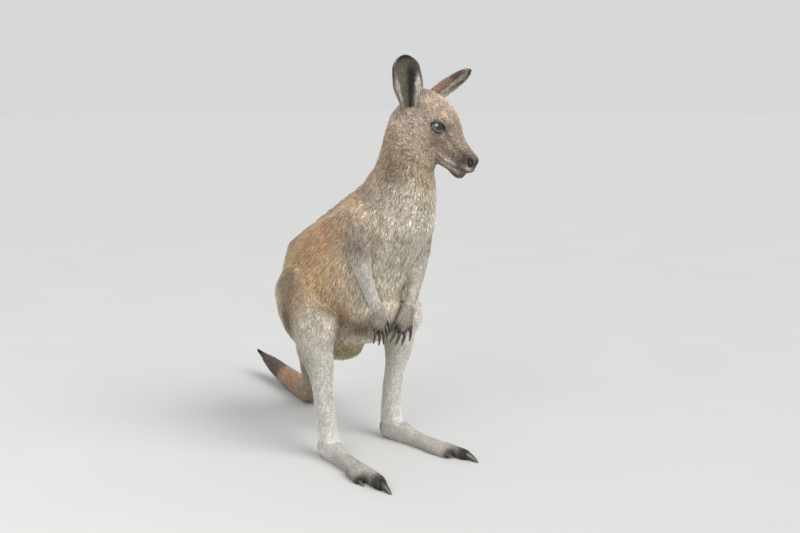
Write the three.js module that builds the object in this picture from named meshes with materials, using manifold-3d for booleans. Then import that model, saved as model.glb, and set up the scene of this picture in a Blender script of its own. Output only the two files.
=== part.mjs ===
// A young eastern grey kangaroo, life size, standing upright on both long hind feet with its tail as a
// prop, its arms hanging in front of the belly and its head turned a little to its left.
// Millimetres. +Z is up, the animal faces -Y, and its left side is +X.
// Every fleshy part is a capsule bent along a smooth spine, with its half-width and half-depth named at
// a few stations. The parts are then joined, and cut where a person would name them, with thin gaps.
import * as THREE from "three";
import { mergeVertices } from "three/addons/utils/BufferGeometryUtils.js";
import Module from "manifold-3d";

const wasm = await Module();
wasm.setup();
const rad = THREE.MathUtils.degToRad;

// ---- Driving dimensions -------------------------------------------------------------------------
// fwd, left and up are measured from the ground midway between the heels. wide and deep are half the
// width and half the depth of the body there, out to the tips of the coat.

const GAP = 0.3; // clearance between two neighbouring parts

const TRUNK = [
  { name: "tail root", fwd: -142, up: 246, wide: 56, deep: 74 },
  { name: "pelvis", fwd: -110, up: 292, wide: 94, deep: 124 },
  { name: "loin", fwd: -64, up: 350, wide: 112, deep: 150 },
  { name: "ribs", fwd: 8, up: 427, wide: 109, deep: 134 },
  { name: "chest", fwd: 79, up: 497, wide: 97, deep: 102 },
  { name: "shoulders", fwd: 136, up: 546, wide: 87, deep: 92 },
  { name: "neck base", fwd: 156, up: 604, wide: 67, deep: 73 },
  { name: "mid neck", fwd: 163, up: 655, wide: 53, deep: 60, left: 4 },
  { name: "upper neck", fwd: 162, up: 700, wide: 44, deep: 54, left: 10 },
  { name: "nape", fwd: 165, up: 738, wide: 39, deep: 47, left: 16 },
];
const BELLY = { fwd: 30, left: 13, up: 324, radii: [90, 88, 84] }; // the full belly behind the hands
const GROIN = { fwd: -54, up: 236, radii: [55, 68, 48] }; // the soft fur that hangs between the thighs
const TRUNK_CUTS = { hip: 0.2, waist: 0.42, collar: 0.63 }; // shares of the way from tail root to nape

const TAIL = [
  { name: "root", fwd: -128, left: 0, up: 278, wide: 52, deep: 60 },
  { name: "drop", fwd: -182, left: 28, up: 190, wide: 40, deep: 44 },
  { name: "bend", fwd: -244, left: 78, up: 94, wide: 34, deep: 36 },
  { name: "rest", fwd: -318, left: 118, up: 31, wide: 30, deep: 33 },
  { name: "run", fwd: -420, left: 148, up: 25, wide: 27, deep: 28 },
  { name: "lift", fwd: -530, left: 170, up: 37, wide: 22, deep: 22 },
  { name: "tip", fwd: -640, left: 188, up: 62, wide: 8, deep: 8 },
];
const TAIL_CUTS = { middle: 0.42, tip: 0.75 };

// The limbs are given for the left side, with out in place of left. Each side then stands on its own: a
// station takes its share of that side's shift of the knee (sway), the heel (plant) and the wrist (hang).
const THIGH = [
  { name: "hip", fwd: -93, out: 64, up: 374, wide: 56, deep: 93 },
  { name: "ham", fwd: -64, out: 87, up: 328, wide: 52, deep: 85 },
  { name: "mid thigh", fwd: -16, out: 106, up: 300, wide: 42, deep: 68, sway: 0.5 },
  { name: "knee", fwd: 38, out: 110, up: 303, wide: 32, deep: 40, sway: 1 },
];

const SHANK = [
  { name: "knee", fwd: 12, out: 112, up: 300, wide: 37, deep: 54, sway: 1 },
  { name: "calf", fwd: -6, out: 111, up: 256, wide: 38, deep: 52, sway: 0.9 },
  { name: "low calf", fwd: 6, out: 109, up: 222, wide: 32, deep: 41, sway: 0.7 },
  { name: "shin top", fwd: 12, out: 107, up: 192, wide: 26, deep: 32, sway: 0.5, plant: 0.3 },
  { name: "shin", fwd: 14, out: 104, up: 158, wide: 22, deep: 24, sway: 0.3, plant: 0.5 },
  { name: "low shin", fwd: 17, out: 99, up: 100, wide: 21, deep: 23, plant: 0.6 },
  { name: "ankle", fwd: 23, out: 96, up: 38, wide: 21, deep: 32, plant: 1 },
];
const ANKLE_CUT = 46; // height at which the shank ends and the foot starts

const ARM = [
  { name: "shoulder", fwd: 104, out: 63, up: 560, wide: 36, deep: 42 },
  { name: "upper arm", fwd: 114, out: 84, up: 512, wide: 31, deep: 37 },
  { name: "elbow", fwd: 119, out: 87, up: 456, wide: 20, deep: 25, hang: 0.3 },
  { name: "forearm", fwd: 124, out: 72, up: 402, wide: 15, deep: 17, hang: 0.6 },
  { name: "wrist", fwd: 127, out: 45, up: 343, wide: 13, deep: 12, hang: 1 },
];
const ARM_CUTS = { elbow: 0.5, wrist: 0.96 };
const WRIST_RISE = 5; // how far up inside the forearm's end the hand starts

const SOLE_DEPTH = 2.5; // how much fur and pad is pressed flat under each sole
// heel is its sideways distance from the midline. Degrees: toeOut turns each foot outwards, turn each
// hand's back outwards, and inward tips the fingers towards the midline.
const SIDES = [
  {
    name: "left",
    sign: 1,
    heel: 87,
    toeOut: 6,
    sway: { fwd: 16, out: 12 },
    plant: { fwd: -2, out: -6 },
    hang: { fwd: 5, out: -6, up: -15 },
    hand: { turn: 16, inward: 18 },
  },
  {
    name: "right",
    sign: -1,
    heel: 95,
    toeOut: 8,
    hang: { up: -4 },
    hand: { turn: 10, inward: 13 },
  },
];

// ---- Turning shapes into solids -----------------------------------------------------------------

const SAME_POINT = 1e-4; // points nearer than this are one point

function solidOf(geometry) {
  for (const name of ["normal", "uv"]) geometry.deleteAttribute(name);
  const merged = mergeVertices(geometry, SAME_POINT);
  const mesh = new wasm.Mesh({
    numProp: 3,
    vertProperties: new Float32Array(merged.attributes.position.array),
    triVerts: new Uint32Array(merged.index.array),
  });
  return new wasm.Manifold(mesh);
}

function geometryOf(solid) {
  const mesh = solid.getMesh();
  const geometry = new THREE.BufferGeometry();
  geometry.setAttribute("position", new THREE.BufferAttribute(mesh.vertProperties, 3));
  geometry.setIndex(new THREE.BufferAttribute(mesh.triVerts, 1));
  geometry.computeVertexNormals();
  return geometry;
}

// The one largest body of a cut solid, without the slivers that a cut can leave.
const largest = (solid) => solid.decompose().reduce((a, b) => (a.volume() > b.volume() ? a : b));
const joined = (solids) => solids.reduce((a, b) => a.add(b));
const without = (solid, cutters) => largest(cutters.reduce((a, b) => a.subtract(b), solid));
const moved = (solid, matrix) => solid.transform(matrix.elements);
const place = (p) => new THREE.Vector3(p.left ?? 0, -p.fwd, p.up);

function turnedInsideOut(geometry) {
  const index = geometry.index.array;
  for (let i = 0; i < index.length; i += 3) [index[i], index[i + 1]] = [index[i + 1], index[i]];
  return geometry;
}

const BALL_ROWS = 0.65; // rows of faces from pole to pole, for each face round the middle

// A capsule bent along the stations' spine. around, steps and rings count its faces round the section,
// along the spine and over each end. cap is how far the round ends run past the end stations, as a share
// of the section there, and grow thickens it all.
function limb(stations, { around = 16, steps = 10, rings = 2, cap = 0.7, grow = 0 } = {}) {
  const spine = new THREE.CatmullRomCurve3(stations.map(place));
  const size = new THREE.CatmullRomCurve3(stations.map((s) => new THREE.Vector3(s.wide, s.deep, 0)));
  const geometry = new THREE.CapsuleGeometry(1, 1, rings, around, steps);
  const points = geometry.attributes.position;
  const p = new THREE.Vector3();
  for (let i = 0; i < points.count; i++) {
    p.fromBufferAttribute(points, i);
    const along = THREE.MathUtils.clamp(p.y + 0.5, 0, 1);
    const past = p.y + 0.5 - along;
    const tangent = spine.getTangent(along);
    const side = new THREE.Vector3(1, 0, 0).addScaledVector(tangent, -tangent.x).normalize();
    const front = new THREE.Vector3().crossVectors(tangent, side);
    const section = size.getPoint(along);
    const reach = Math.min(section.x, section.y) * cap + grow;
    const at = spine.getPoint(along).addScaledVector(tangent, past * reach);
    at.addScaledVector(side, p.x * (section.x + grow)).addScaledVector(front, -p.z * (section.y + grow));
    points.setXYZ(i, at.x, at.y, at.z);
  }
  const solid = solidOf(geometry);
  return solid.volume() < 0 ? solidOf(turnedInsideOut(geometry)) : solid;
}

// A stretched ball: radii are its half-sizes across, along and up, faces counts its faces round.
function ball(at, radii, { faces = 12, grow = 0 } = {}) {
  const geometry = new THREE.SphereGeometry(1, faces, Math.round(faces * BALL_ROWS));
  geometry.scale(radii[0] + grow, radii[1] + grow, radii[2] + grow);
  const p = place(at);
  return solidOf(geometry.translate(p.x, p.y, p.z));
}

const FAR = 3000; // further than the animal reaches any way

// A block that fills everything on the side of the plane that the normal points to.
function halfSpace(at, normal) {
  const geometry = new THREE.BoxGeometry(FAR, FAR, FAR).translate(0, 0, FAR / 2);
  const turn = new THREE.Quaternion().setFromUnitVectors(new THREE.Vector3(0, 0, 1), normal);
  return solidOf(geometry.applyQuaternion(turn).translate(at.x, at.y, at.z));
}

const above = (height) => halfSpace(new THREE.Vector3(0, 0, height), new THREE.Vector3(0, 0, 1));
const below = (height) => halfSpace(new THREE.Vector3(0, 0, height), new THREE.Vector3(0, 0, -1));

// A plane across a spine, at a share of the way along it.
function across(stations, share) {
  const spine = new THREE.CatmullRomCurve3(stations.map(place));
  return { at: spine.getPoint(share), normal: spine.getTangent(share).normalize() };
}

// Splits a solid at planes in order along it, and returns its lengths with a gap at each plane.
function lengthsOf(solid, planes) {
  const lengths = [];
  let rest = solid;
  for (const { at, normal } of planes) {
    const before = at.clone().addScaledVector(normal, -GAP / 2);
    const after = at.clone().addScaledVector(normal, GAP / 2);
    lengths.push(largest(rest.subtract(halfSpace(before, normal))));
    rest = rest.subtract(halfSpace(after, normal.clone().negate()));
  }
  return [...lengths, largest(rest)];
}

// A frame of its own for a head, hand or foot, turned by degrees about Y, X and Z, then set down.
function frame(at, { pitch = 0, yaw = 0, roll = 0 } = {}) {
  const euler = new THREE.Euler(rad(pitch), rad(roll), rad(yaw), "ZXY");
  const turn = new THREE.Matrix4().makeRotationFromEuler(euler);
  return new THREE.Matrix4().setPosition(place(at)).multiply(turn);
}

// A limb's stations on one side of the body, each with its share of that side's shifts.
function onSide(stations, side) {
  return stations.map((station) => {
    const shifted = (axis) =>
      ["sway", "plant", "hang"].reduce(
        (at, shift) => at + (station[shift] ?? 0) * (side[shift]?.[axis] ?? 0),
        station[axis],
      );
    return { ...station, fwd: shifted("fwd"), left: shifted("out") * side.sign, up: shifted("up") };
  });
}

// ---- The head, in its own frame: forward along the muzzle from the nape, up through the crown -----

const HEAD_PITCH = 38; // degrees the muzzle points below the horizon
const HEAD_YAW = 27; // degrees the head is turned to the animal's left
const headFrame = frame({ fwd: 146, left: 20, up: 745 }, { pitch: HEAD_PITCH, yaw: HEAD_YAW });
const THROAT = { fwd: 60, up: -44, lean: 6 }; // the plane that parts head and neck, leaning back

const SKULL = [
  { name: "back", fwd: 1, up: 18, wide: 38, deep: 42 },
  { name: "braincase", fwd: 38, up: 25, wide: 42, deep: 49 },
  { name: "brow", fwd: 72, up: 22, wide: 37, deep: 46 },
  { name: "cheek front", fwd: 104, up: 10, wide: 30, deep: 37 },
  { name: "muzzle", fwd: 134, up: 5, wide: 24, deep: 28 },
  { name: "snout", fwd: 158, up: 4, wide: 21, deep: 24 },
  { name: "nose", fwd: 175, up: 7, wide: 18, deep: 19 },
];
const JAW = [
  { name: "angle", fwd: 44, up: -6, wide: 40, deep: 30 },
  { name: "cheek", fwd: 80, up: -14, wide: 35, deep: 27 },
  { name: "body", fwd: 120, up: -19, wide: 23, deep: 17 },
  { name: "chin", fwd: 166, up: -17, wide: 14, deep: 11 },
];
const FACE_MUSCLES = [
  { name: "brow ridge", fwd: 78, out: 26, up: 37, radii: [14, 24, 19] },
  { name: "cheek", fwd: 62, out: 32, up: -2, radii: [14, 34, 30] },
  { name: "upper lip", fwd: 167, out: 12, up: -4, radii: [10, 18, 10] },
];
const EYE_RADIUS = 15;
const EYE_AT = { fwd: 77, out: 31, up: 28 };

function eyeball(sign, grow = 0) {
  const at = { fwd: EYE_AT.fwd, left: EYE_AT.out * sign, up: EYE_AT.up };
  return moved(ball(at, [EYE_RADIUS, EYE_RADIUS, EYE_RADIUS], { faces: 10, grow }), headFrame);
}

function skull(grow = 0) {
  const pieces = [
    limb(SKULL, { around: 14, steps: 9, cap: 0.5, grow }),
    limb(JAW, { around: 10, steps: 4, cap: 0.6, grow }),
  ];
  for (const { sign } of SIDES) {
    for (const { fwd, out, up, radii } of FACE_MUSCLES) {
      pieces.push(ball({ fwd, left: out * sign, up }, radii, { faces: 8, grow }));
    }
  }
  return moved(joined(pieces), headFrame);
}

// ---- Ears: a leaf-shaped shell, scooped out from its open side so that a thin curved wall is left ---

const EAR_LENGTH = 106;
const EAR_WALL = 3.2;
// share is how far up the ear a section lies. The hollow is a second leaf that sits scoop further forward.
const EAR_LEAF = [
  { name: "root", share: -0.13, fwd: 0, wide: 15, deep: 15 },
  { name: "neck", share: 0.12, fwd: 0, wide: 20, deep: 15, scoop: 4 },
  { name: "widest", share: 0.42, fwd: 0, wide: 30, deep: 15, scoop: 9 },
  { name: "upper", share: 0.7, fwd: 2, wide: 28, deep: 13, scoop: 9 },
  { name: "tip", share: 0.93, fwd: 2, wide: 15, deep: 7, scoop: 9 },
];
// base is in the head's frame. tip and open are directions in the body's: up the ear, and out of its cup.
const EARS = {
  left: { base: { fwd: 15, left: 33, up: 42 }, tip: [0.68, -0.46, 0.6], open: [0.36, -0.7, -0.5] },
  right: { base: { fwd: 13, left: -37.5, up: 21 }, tip: [-0.052, 0.141, 0.989], open: [-0.5, -0.85, 0] },
};

function ear({ base, tip, open }) {
  const up = new THREE.Vector3(...tip).normalize();
  const out = new THREE.Vector3(...open);
  out.addScaledVector(up, -up.dot(out)).normalize();
  const side = new THREE.Vector3().crossVectors(up, out);
  const root = place(base).applyMatrix4(headFrame);
  const turn = new THREE.Matrix4().makeBasis(side, out.clone().negate(), up).setPosition(root);
  const leaf = EAR_LEAF.map((section) => ({ ...section, up: section.share * EAR_LENGTH }));
  const hollow = leaf
    .slice(1)
    .map((section) => ({ ...section, fwd: section.fwd + section.scoop, wide: section.wide - EAR_WALL }));
  const faces = { around: 10, steps: 5, rings: 1, cap: 0.8 };
  return moved(without(limb(leaf, faces), [limb(hollow, faces)]), turn);
}

// ---- Hands and feet, each in a frame of its own ------------------------------------------------------

// The sections of a claw, as shares of the way to its point, and how much thinner it is at the point.
const CLAW_SHARES = [0, 0.4, 0.75, 1];
const CLAW_TAPER = 0.86;
const CLAW_FULLNESS = 1.5; // above 1, a claw keeps its thickness for longer

// A claw from its root, along a direction, curving towards bend, with flat for how narrow it is.
function claw({ root, along, bend, length, thick, curve = 0.3, flat = 1 }, grow = 0) {
  const stations = CLAW_SHARES.map((share) => {
    const at = new THREE.Vector3(...root)
      .addScaledVector(new THREE.Vector3(...along).normalize(), length * share)
      .addScaledVector(new THREE.Vector3(...bend).normalize(), length * curve * share * share);
    const half = thick * (1 - share ** CLAW_FULLNESS * CLAW_TAPER) + grow;
    return { fwd: -at.y, left: at.x, up: at.z, wide: half * flat, deep: half };
  });
  return limb(stations, { around: 6, steps: 2, rings: 1, cap: 0.8 });
}

// left runs across the hand from the thumb's side outwards, up towards the wrist, fwd out of its back.
const PALM = [
  { name: "wrist", fwd: 0, up: 10, wide: 14, deep: 12 },
  { name: "palm", fwd: 1, up: -14, wide: 18, deep: 12 },
  { name: "knuckles", fwd: 0, up: -38, wide: 18, deep: 9 },
];
// fan is the degrees that a finger spreads by. from and drop are where its reach starts on the palm.
const FINGERS = [
  { fan: -24, reach: 27, from: -14, drop: 26 },
  { fan: -13, reach: 31, from: -9, drop: 35 },
  { fan: -2, reach: 34, from: -2, drop: 38 },
  { fan: 8, reach: 32, from: 6, drop: 36 },
  { fan: 22, reach: 27, from: 14, drop: 29 },
];
const FINGER_SECTIONS = [
  { name: "root", share: -0.25, fwd: 1, wide: 6.2, deep: 6.6 },
  { name: "middle", share: 0.35, fwd: 2, wide: 5.6, deep: 5.6 },
  { name: "tip", share: 0.68, fwd: -1, wide: 5, deep: 4.8 },
];
const FINGER_CLAW = { share: 0.62, fwd: 2, length: 27, thick: 3.8 };
const FINGER_CLAW_SPREAD = 0.7; // how much of its finger's spread a claw keeps

function fingerParts({ fan, reach, from, drop }, sign) {
  const lean = Math.sin(rad(fan)) * sign;
  const down = -Math.cos(rad(fan));
  const on = (part) => ({
    ...part,
    left: from * sign + lean * reach * part.share,
    up: down * reach * part.share - drop,
  });
  const flesh = limb(FINGER_SECTIONS.map(on), { around: 6, steps: 2, rings: 1, cap: 0.8 });
  const { fwd, left, up, ...shape } = on(FINGER_CLAW);
  const along = [lean * FINGER_CLAW_SPREAD, -0.1, down];
  return { flesh, nail: { root: [left, -fwd, up], along, bend: [0, 1, -0.2], ...shape } };
}

function handPieces(sign, matrix) {
  const fingers = FINGERS.map((finger) => fingerParts(finger, sign));
  const palm = limb(PALM, { around: 8, steps: 3, cap: 0.6 });
  const flesh = joined([palm, ...fingers.map((finger) => finger.flesh)]);
  const nailsGrown = fingers.map((finger) => claw(finger.nail, GAP));
  return {
    hand: moved(without(flesh, nailsGrown), matrix),
    claws: fingers.map((finger) => moved(claw(finger.nail), matrix)),
  };
}

// Forward from the heel, with out towards the outer edge of the foot.
const METATARSUS = [
  { name: "heel", fwd: 9, up: 23, wide: 18, deep: 24 },
  { name: "ankle", fwd: 36, up: 31, wide: 20, deep: 34 },
  { name: "instep", fwd: 68, up: 20, wide: 16, deep: 23 },
  { name: "mid foot", fwd: 115, up: 14, wide: 17, deep: 18 },
  { name: "ball", fwd: 160, up: 12, wide: 23, deep: 16 },
  { name: "toe root", fwd: 190, up: 12, wide: 19, deep: 15 },
];
// The great fourth toe runs straight on, the fifth lies outside it, and the two small ones are joined.
const TOES = {
  fourth: [
    { fwd: 165, out: 2, up: 12, wide: 14, deep: 14 },
    { fwd: 205, out: 3, up: 13, wide: 13.5, deep: 14 },
    { fwd: 240, out: 3, up: 11, wide: 12, deep: 12.5 },
  ],
  fifth: [
    { fwd: 138, out: 16, up: 11, wide: 10, deep: 11 },
    { fwd: 168, out: 23, up: 10, wide: 9, deep: 10 },
    { fwd: 187, out: 25, up: 8, wide: 8, deep: 8.5 },
  ],
  joined: [
    { fwd: 140, out: -14, up: 12, wide: 8, deep: 10 },
    { fwd: 180, out: -18, up: 11, wide: 8, deep: 8.5 },
    { fwd: 204, out: -18, up: 9, wide: 7, deep: 7 },
  ],
};
const TOE_CLAWS = {
  fourth: { fwd: 236, out: 3, up: 14, length: 36, thick: 10.5, curve: 0.36, flat: 0.8 },
  fifth: { fwd: 185, out: 25, up: 9, length: 21, thick: 6.4, curve: 0.34, flat: 0.8 },
  third: { fwd: 200, out: -14.8, up: 12, length: 17, thick: 2.6 },
  second: { fwd: 200, out: -21.2, up: 12, length: 17, thick: 2.6 },
};

function toeClaw({ fwd, out, up, ...shape }, sign, grow = 0) {
  return claw({ root: [out * sign, -fwd, up], along: [0, -1, 0], bend: [0, 0, -1], ...shape }, grow);
}

function footPieces(side) {
  const { sign, heel, toeOut, plant } = side;
  const at = { fwd: plant?.fwd ?? 0, left: heel * sign, up: -SOLE_DEPTH };
  const matrix = frame(at, { yaw: toeOut * sign });
  const toe = (stations) => limb(onSide(stations, { sign }), { around: 8, steps: 3, rings: 1, cap: 0.8 });
  const middle = (grow) => limb(METATARSUS, { around: 11, steps: 6, cap: 0.75, grow });
  const nail = (name) => toeClaw(TOE_CLAWS[name], sign, GAP);
  const trimmed = (solid, cutters = []) => moved(without(solid, [...cutters, below(SOLE_DEPTH)]), matrix);
  const pieces = {
    foot: trimmed(joined([middle(0), toe(TOES.joined)]), [nail("second"), nail("third")]),
    toe_fourth: trimmed(toe(TOES.fourth), [middle(GAP), nail("fourth")]),
    toe_fifth: trimmed(toe(TOES.fifth), [middle(GAP), nail("fifth")]),
  };
  pieces.foot = without(pieces.foot, [above(ANKLE_CUT - GAP)]);
  for (const [name, shape] of Object.entries(TOE_CLAWS)) {
    pieces[`claw_${name}`] = trimmed(toeClaw(shape, sign));
  }
  return pieces;
}

function legPieces(side, trunkGrown) {
  const thigh = (grow) => limb(onSide(THIGH, side), { around: 14, steps: 7, cap: 0.8, grow });
  const shank = limb(onSide(SHANK, side), { around: 11, steps: 9, cap: 0.7 });
  return {
    thigh: without(thigh(0), [trunkGrown]),
    shank: without(shank, [trunkGrown, thigh(GAP), below(ANKLE_CUT)]),
    ...footPieces(side),
  };
}

function armPieces(side, trunkGrown) {
  const line = onSide(ARM, side);
  const cuts = Object.values(ARM_CUTS).map((share) => across(line, share));
  const [upperArm, forearm] = lengthsOf(limb(line, { around: 10, steps: 10, cap: 0.6 }), cuts);
  const wrist = line[line.length - 1];
  const turned = { yaw: -side.hand.turn * side.sign, roll: side.hand.inward * side.sign };
  const { hand, claws } = handPieces(side.sign, frame({ ...wrist, up: wrist.up + WRIST_RISE }, turned));
  const { at, normal } = cuts[1];
  const handTop = halfSpace(at.clone().addScaledVector(normal, GAP), normal.clone().negate());
  const pieces = {
    upper_arm: without(upperArm, [trunkGrown]),
    forearm: without(forearm, [trunkGrown]),
    hand: without(hand, [handTop]),
  };
  claws.forEach((nail, i) => {
    pieces[`finger_claw_${i + 1}`] = nail;
  });
  return pieces;
}

// ---- The whole animal, parted ---------------------------------------------------------------------

const materials = {
  back_fur: new THREE.MeshStandardMaterial({ color: 0x8c7a66, roughness: 0.95 }),
  pale_fur: new THREE.MeshStandardMaterial({ color: 0xc9c1b2, roughness: 0.95 }),
  dark_fur: new THREE.MeshStandardMaterial({ color: 0x3b302b, roughness: 0.9 }),
  eye: new THREE.MeshStandardMaterial({ color: 0x1a1210, roughness: 0.08 }),
  claw: new THREE.MeshStandardMaterial({ color: 0x231c19, roughness: 0.4 }),
};
// Which of them a part wears, by the first words of its name. The rest wear the fur of the back.
const WORN = {
  eye: "eye",
  claw: "claw",
  finger_claw: "claw",
  thigh: "pale_fur",
  shank: "pale_fur",
  foot: "pale_fur",
  forearm: "pale_fur",
  hand: "dark_fur",
  toe: "dark_fur",
  tail_tip: "dark_fur",
};

const kangaroo = new THREE.Group();

function add(name, solid) {
  const part = Object.keys(WORN).find((start) => name.startsWith(start));
  const mesh = new THREE.Mesh(geometryOf(solid), materials[WORN[part] ?? "back_fur"]);
  mesh.name = name;
  kangaroo.add(mesh);
}

const trunk = (grow) =>
  joined([
    limb(TRUNK, { around: 18, steps: 14, cap: 0.8, grow }),
    ...[BELLY, GROIN].map((soft) => ball(soft, soft.radii, { faces: 10, grow })),
  ]);
const trunkGrown = trunk(GAP);
const skullGrown = skull(GAP);

const throatLean = new THREE.Vector3(0, -Math.sin(rad(THROAT.lean)), Math.cos(rad(THROAT.lean)));
const headCut = {
  at: place(THROAT).applyMatrix4(headFrame),
  normal: throatLean.transformDirection(headFrame),
};
const trunkCuts = Object.values(TRUNK_CUTS).map((share) => across(TRUNK, share));
const [rump, belly, chest, neck, head] = lengthsOf(trunk(0).add(skull()), [...trunkCuts, headCut]);
add("rump", rump);
add("belly", belly);
add("chest", chest);
add("neck", neck);
add("head", without(head, [eyeball(1, GAP), eyeball(-1, GAP)]));

const tail = without(limb(TAIL, { around: 12, steps: 13, cap: 0.8 }), [trunkGrown, below(0)]);
const tailCuts = Object.values(TAIL_CUTS).map((share) => across(TAIL, share));
const [tailBase, tailMiddle, tailTip] = lengthsOf(tail, tailCuts);
add("tail_base", tailBase);
add("tail_middle", tailMiddle);
add("tail_tip", tailTip);

for (const side of SIDES) {
  add(`eye_${side.name}`, eyeball(side.sign));
  add(`ear_${side.name}`, without(ear(EARS[side.name]), [skullGrown, trunkGrown]));
  const pieces = { ...legPieces(side, trunkGrown), ...armPieces(side, trunkGrown) };
  for (const [name, solid] of Object.entries(pieces)) add(`${name}_${side.name}`, solid);
}

// The origin is on the ground, under the middle of the whole animal.
const bounds = new THREE.Box3().setFromObject(kangaroo);
const middle = bounds.getCenter(new THREE.Vector3());
kangaroo.position.set(-middle.x, -middle.y, -bounds.min.z);

export default kangaroo;
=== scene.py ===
"""A young eastern grey kangaroo, life size: one skin, its coat, eyes and claws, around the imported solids."""

import math
from collections import namedtuple

import bmesh
import bpy
import numpy as np
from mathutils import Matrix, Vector
from mathutils.bvhtree import BVHTree


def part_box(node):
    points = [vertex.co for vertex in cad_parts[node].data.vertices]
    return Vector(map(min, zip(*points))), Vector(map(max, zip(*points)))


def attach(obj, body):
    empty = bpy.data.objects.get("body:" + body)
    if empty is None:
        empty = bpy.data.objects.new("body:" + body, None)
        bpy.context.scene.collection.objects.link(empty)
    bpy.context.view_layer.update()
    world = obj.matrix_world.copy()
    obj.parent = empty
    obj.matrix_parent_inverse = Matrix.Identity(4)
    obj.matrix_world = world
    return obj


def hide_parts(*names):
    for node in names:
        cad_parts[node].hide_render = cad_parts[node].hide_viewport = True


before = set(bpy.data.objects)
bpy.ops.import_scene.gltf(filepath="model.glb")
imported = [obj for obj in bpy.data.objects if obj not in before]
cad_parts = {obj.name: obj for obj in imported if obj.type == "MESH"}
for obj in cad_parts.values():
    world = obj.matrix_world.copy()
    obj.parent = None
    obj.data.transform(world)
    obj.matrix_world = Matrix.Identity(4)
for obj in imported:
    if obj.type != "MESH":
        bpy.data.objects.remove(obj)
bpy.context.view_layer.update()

MM = 0.001
SIDES = {"left": 1, "right": -1}
random = np.random.default_rng(47)


# ---- Places on the animal ------------------------------------------------------------------------
# Body places are (forward, left, up) in millimetres from the ground midway between the heels. Head places
# are the same from the middle of the skull's back, along the head's own axes.

HEELS = np.array([-0.0212, -0.1802, 0.0])
FACE_TURN = math.radians(27)  # how far the face is turned to the animal's left
FACE_DROP = math.radians(38)  # how far the nose points below the level
EYE = {"fwd": 77, "out": 31, "up": 28, "radius": 15}


def unit(vectors):
    """Vectors, or one vector, at length 1."""
    vectors = np.asarray(vectors, float)
    return vectors / np.maximum(np.linalg.norm(vectors, axis=-1, keepdims=True), 1e-12)


def centre(node):
    low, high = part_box(node)
    return np.array((low + high) / 2)


FACE_FORWARD = np.array([
    math.sin(FACE_TURN) * math.cos(FACE_DROP),
    -math.cos(FACE_TURN) * math.cos(FACE_DROP),
    -math.sin(FACE_DROP),
])
FACE_LEFT = np.array([math.cos(FACE_TURN), math.sin(FACE_TURN), 0.0])
FACE_UP = np.cross(FACE_LEFT, -FACE_FORWARD)
HEAD_AXES = np.array([FACE_FORWARD, FACE_LEFT, FACE_UP])
EYES_MIDDLE = (centre("eye_left") + centre("eye_right")) / 2
SKULL_BACK = EYES_MIDDLE - (EYE["fwd"] * FACE_FORWARD + EYE["up"] * FACE_UP) * MM


def on_head(fwd, left, up):
    return SKULL_BACK + np.array([fwd, left, up]) @ HEAD_AXES * MM


def head_frame(points):
    """(forward, left, up) of points on the head, in millimetres."""
    return (points - SKULL_BACK) @ HEAD_AXES.T / MM


def body_frame(points):
    """(forward, left, up) of points on the body, in millimetres."""
    away = (points - HEELS) / MM
    return np.stack([-away[:, 1], away[:, 0], away[:, 2]], 1)


# ---- The coat, part by part ----------------------------------------------------------------------
# depth is from skin to the tips of the coat, length and width are one lock's, all in millimetres, locks is
# how many grow on a square centimetre, and grizzle is how much light and dark tips are mixed in.

Coat = namedtuple("Coat", "depth length width locks grizzle")
COAT = {
    "rump": Coat(7.5, 18, 1.45, 32, 1.0),
    "belly": Coat(8, 20, 1.45, 31, 1.0),
    "chest": Coat(7.5, 19, 1.4, 32, 1.0),
    "neck": Coat(6.5, 15, 1.35, 36, 1.0),
    "head": Coat(2.2, 4.8, 1.0, 56, 1.25),
    "ear": Coat(0.8, 4, 0.9, 46, 1.25),
    "tail_base": Coat(5, 12, 1.6, 24, 0.9),
    "tail_middle": Coat(4, 11, 1.6, 26, 0.8),
    "tail_tip": Coat(4, 12, 1.5, 28, 0.6),
    "thigh": Coat(5, 12, 1.35, 32, 0.7),
    "shank": Coat(2.8, 8, 1.25, 37, 0.45),
    "foot": Coat(1.6, 5.5, 1.05, 44, 0.4),
    "toe": Coat(1.4, 4.5, 1.0, 46, 0.5),
    "upper_arm": Coat(5.5, 12.5, 1.5, 32, 0.9),
    "forearm": Coat(3, 8.5, 1.3, 40, 0.6),
    "hand": Coat(1.8, 6, 1.05, 46, 0.6),
}
PARTS = list(COAT)


def part_of(node):
    """The coat's row that a CAD node takes, or None where no fur grows."""
    fitting = [part for part in PARTS if node.startswith(part)]
    return fitting[0] if fitting else None


def both(*names):
    return [f"{name}_{side}" for name in names for side in SIDES]


BULK = ["rump", "belly", "chest", "neck", "tail_base", "tail_middle", "tail_tip"]
BULK += both("thigh", "shank", "upper_arm", "forearm")
FINE = ["head"] + both("foot", "toe_fourth", "toe_fifth", "hand")
SOFTENED = BULK + ["head"] + both("foot")  # their cuts and corners melt into one another
FLESH = BULK + FINE + both("ear")


# ---- Mesh helpers --------------------------------------------------------------------------------

def points_of(mesh):
    flat = np.empty(len(mesh.vertices) * 3, np.float32)
    mesh.vertices.foreach_get("co", flat)
    return flat.reshape(-1, 3).astype(float)


def normals_of(mesh):
    flat = np.empty(len(mesh.vertices) * 3, np.float32)
    mesh.vertex_normals.foreach_get("vector", flat)
    return flat.reshape(-1, 3).astype(float)


def set_points(mesh, points):
    mesh.vertices.foreach_set("co", points.astype(np.float32).ravel())
    mesh.update()


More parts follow.
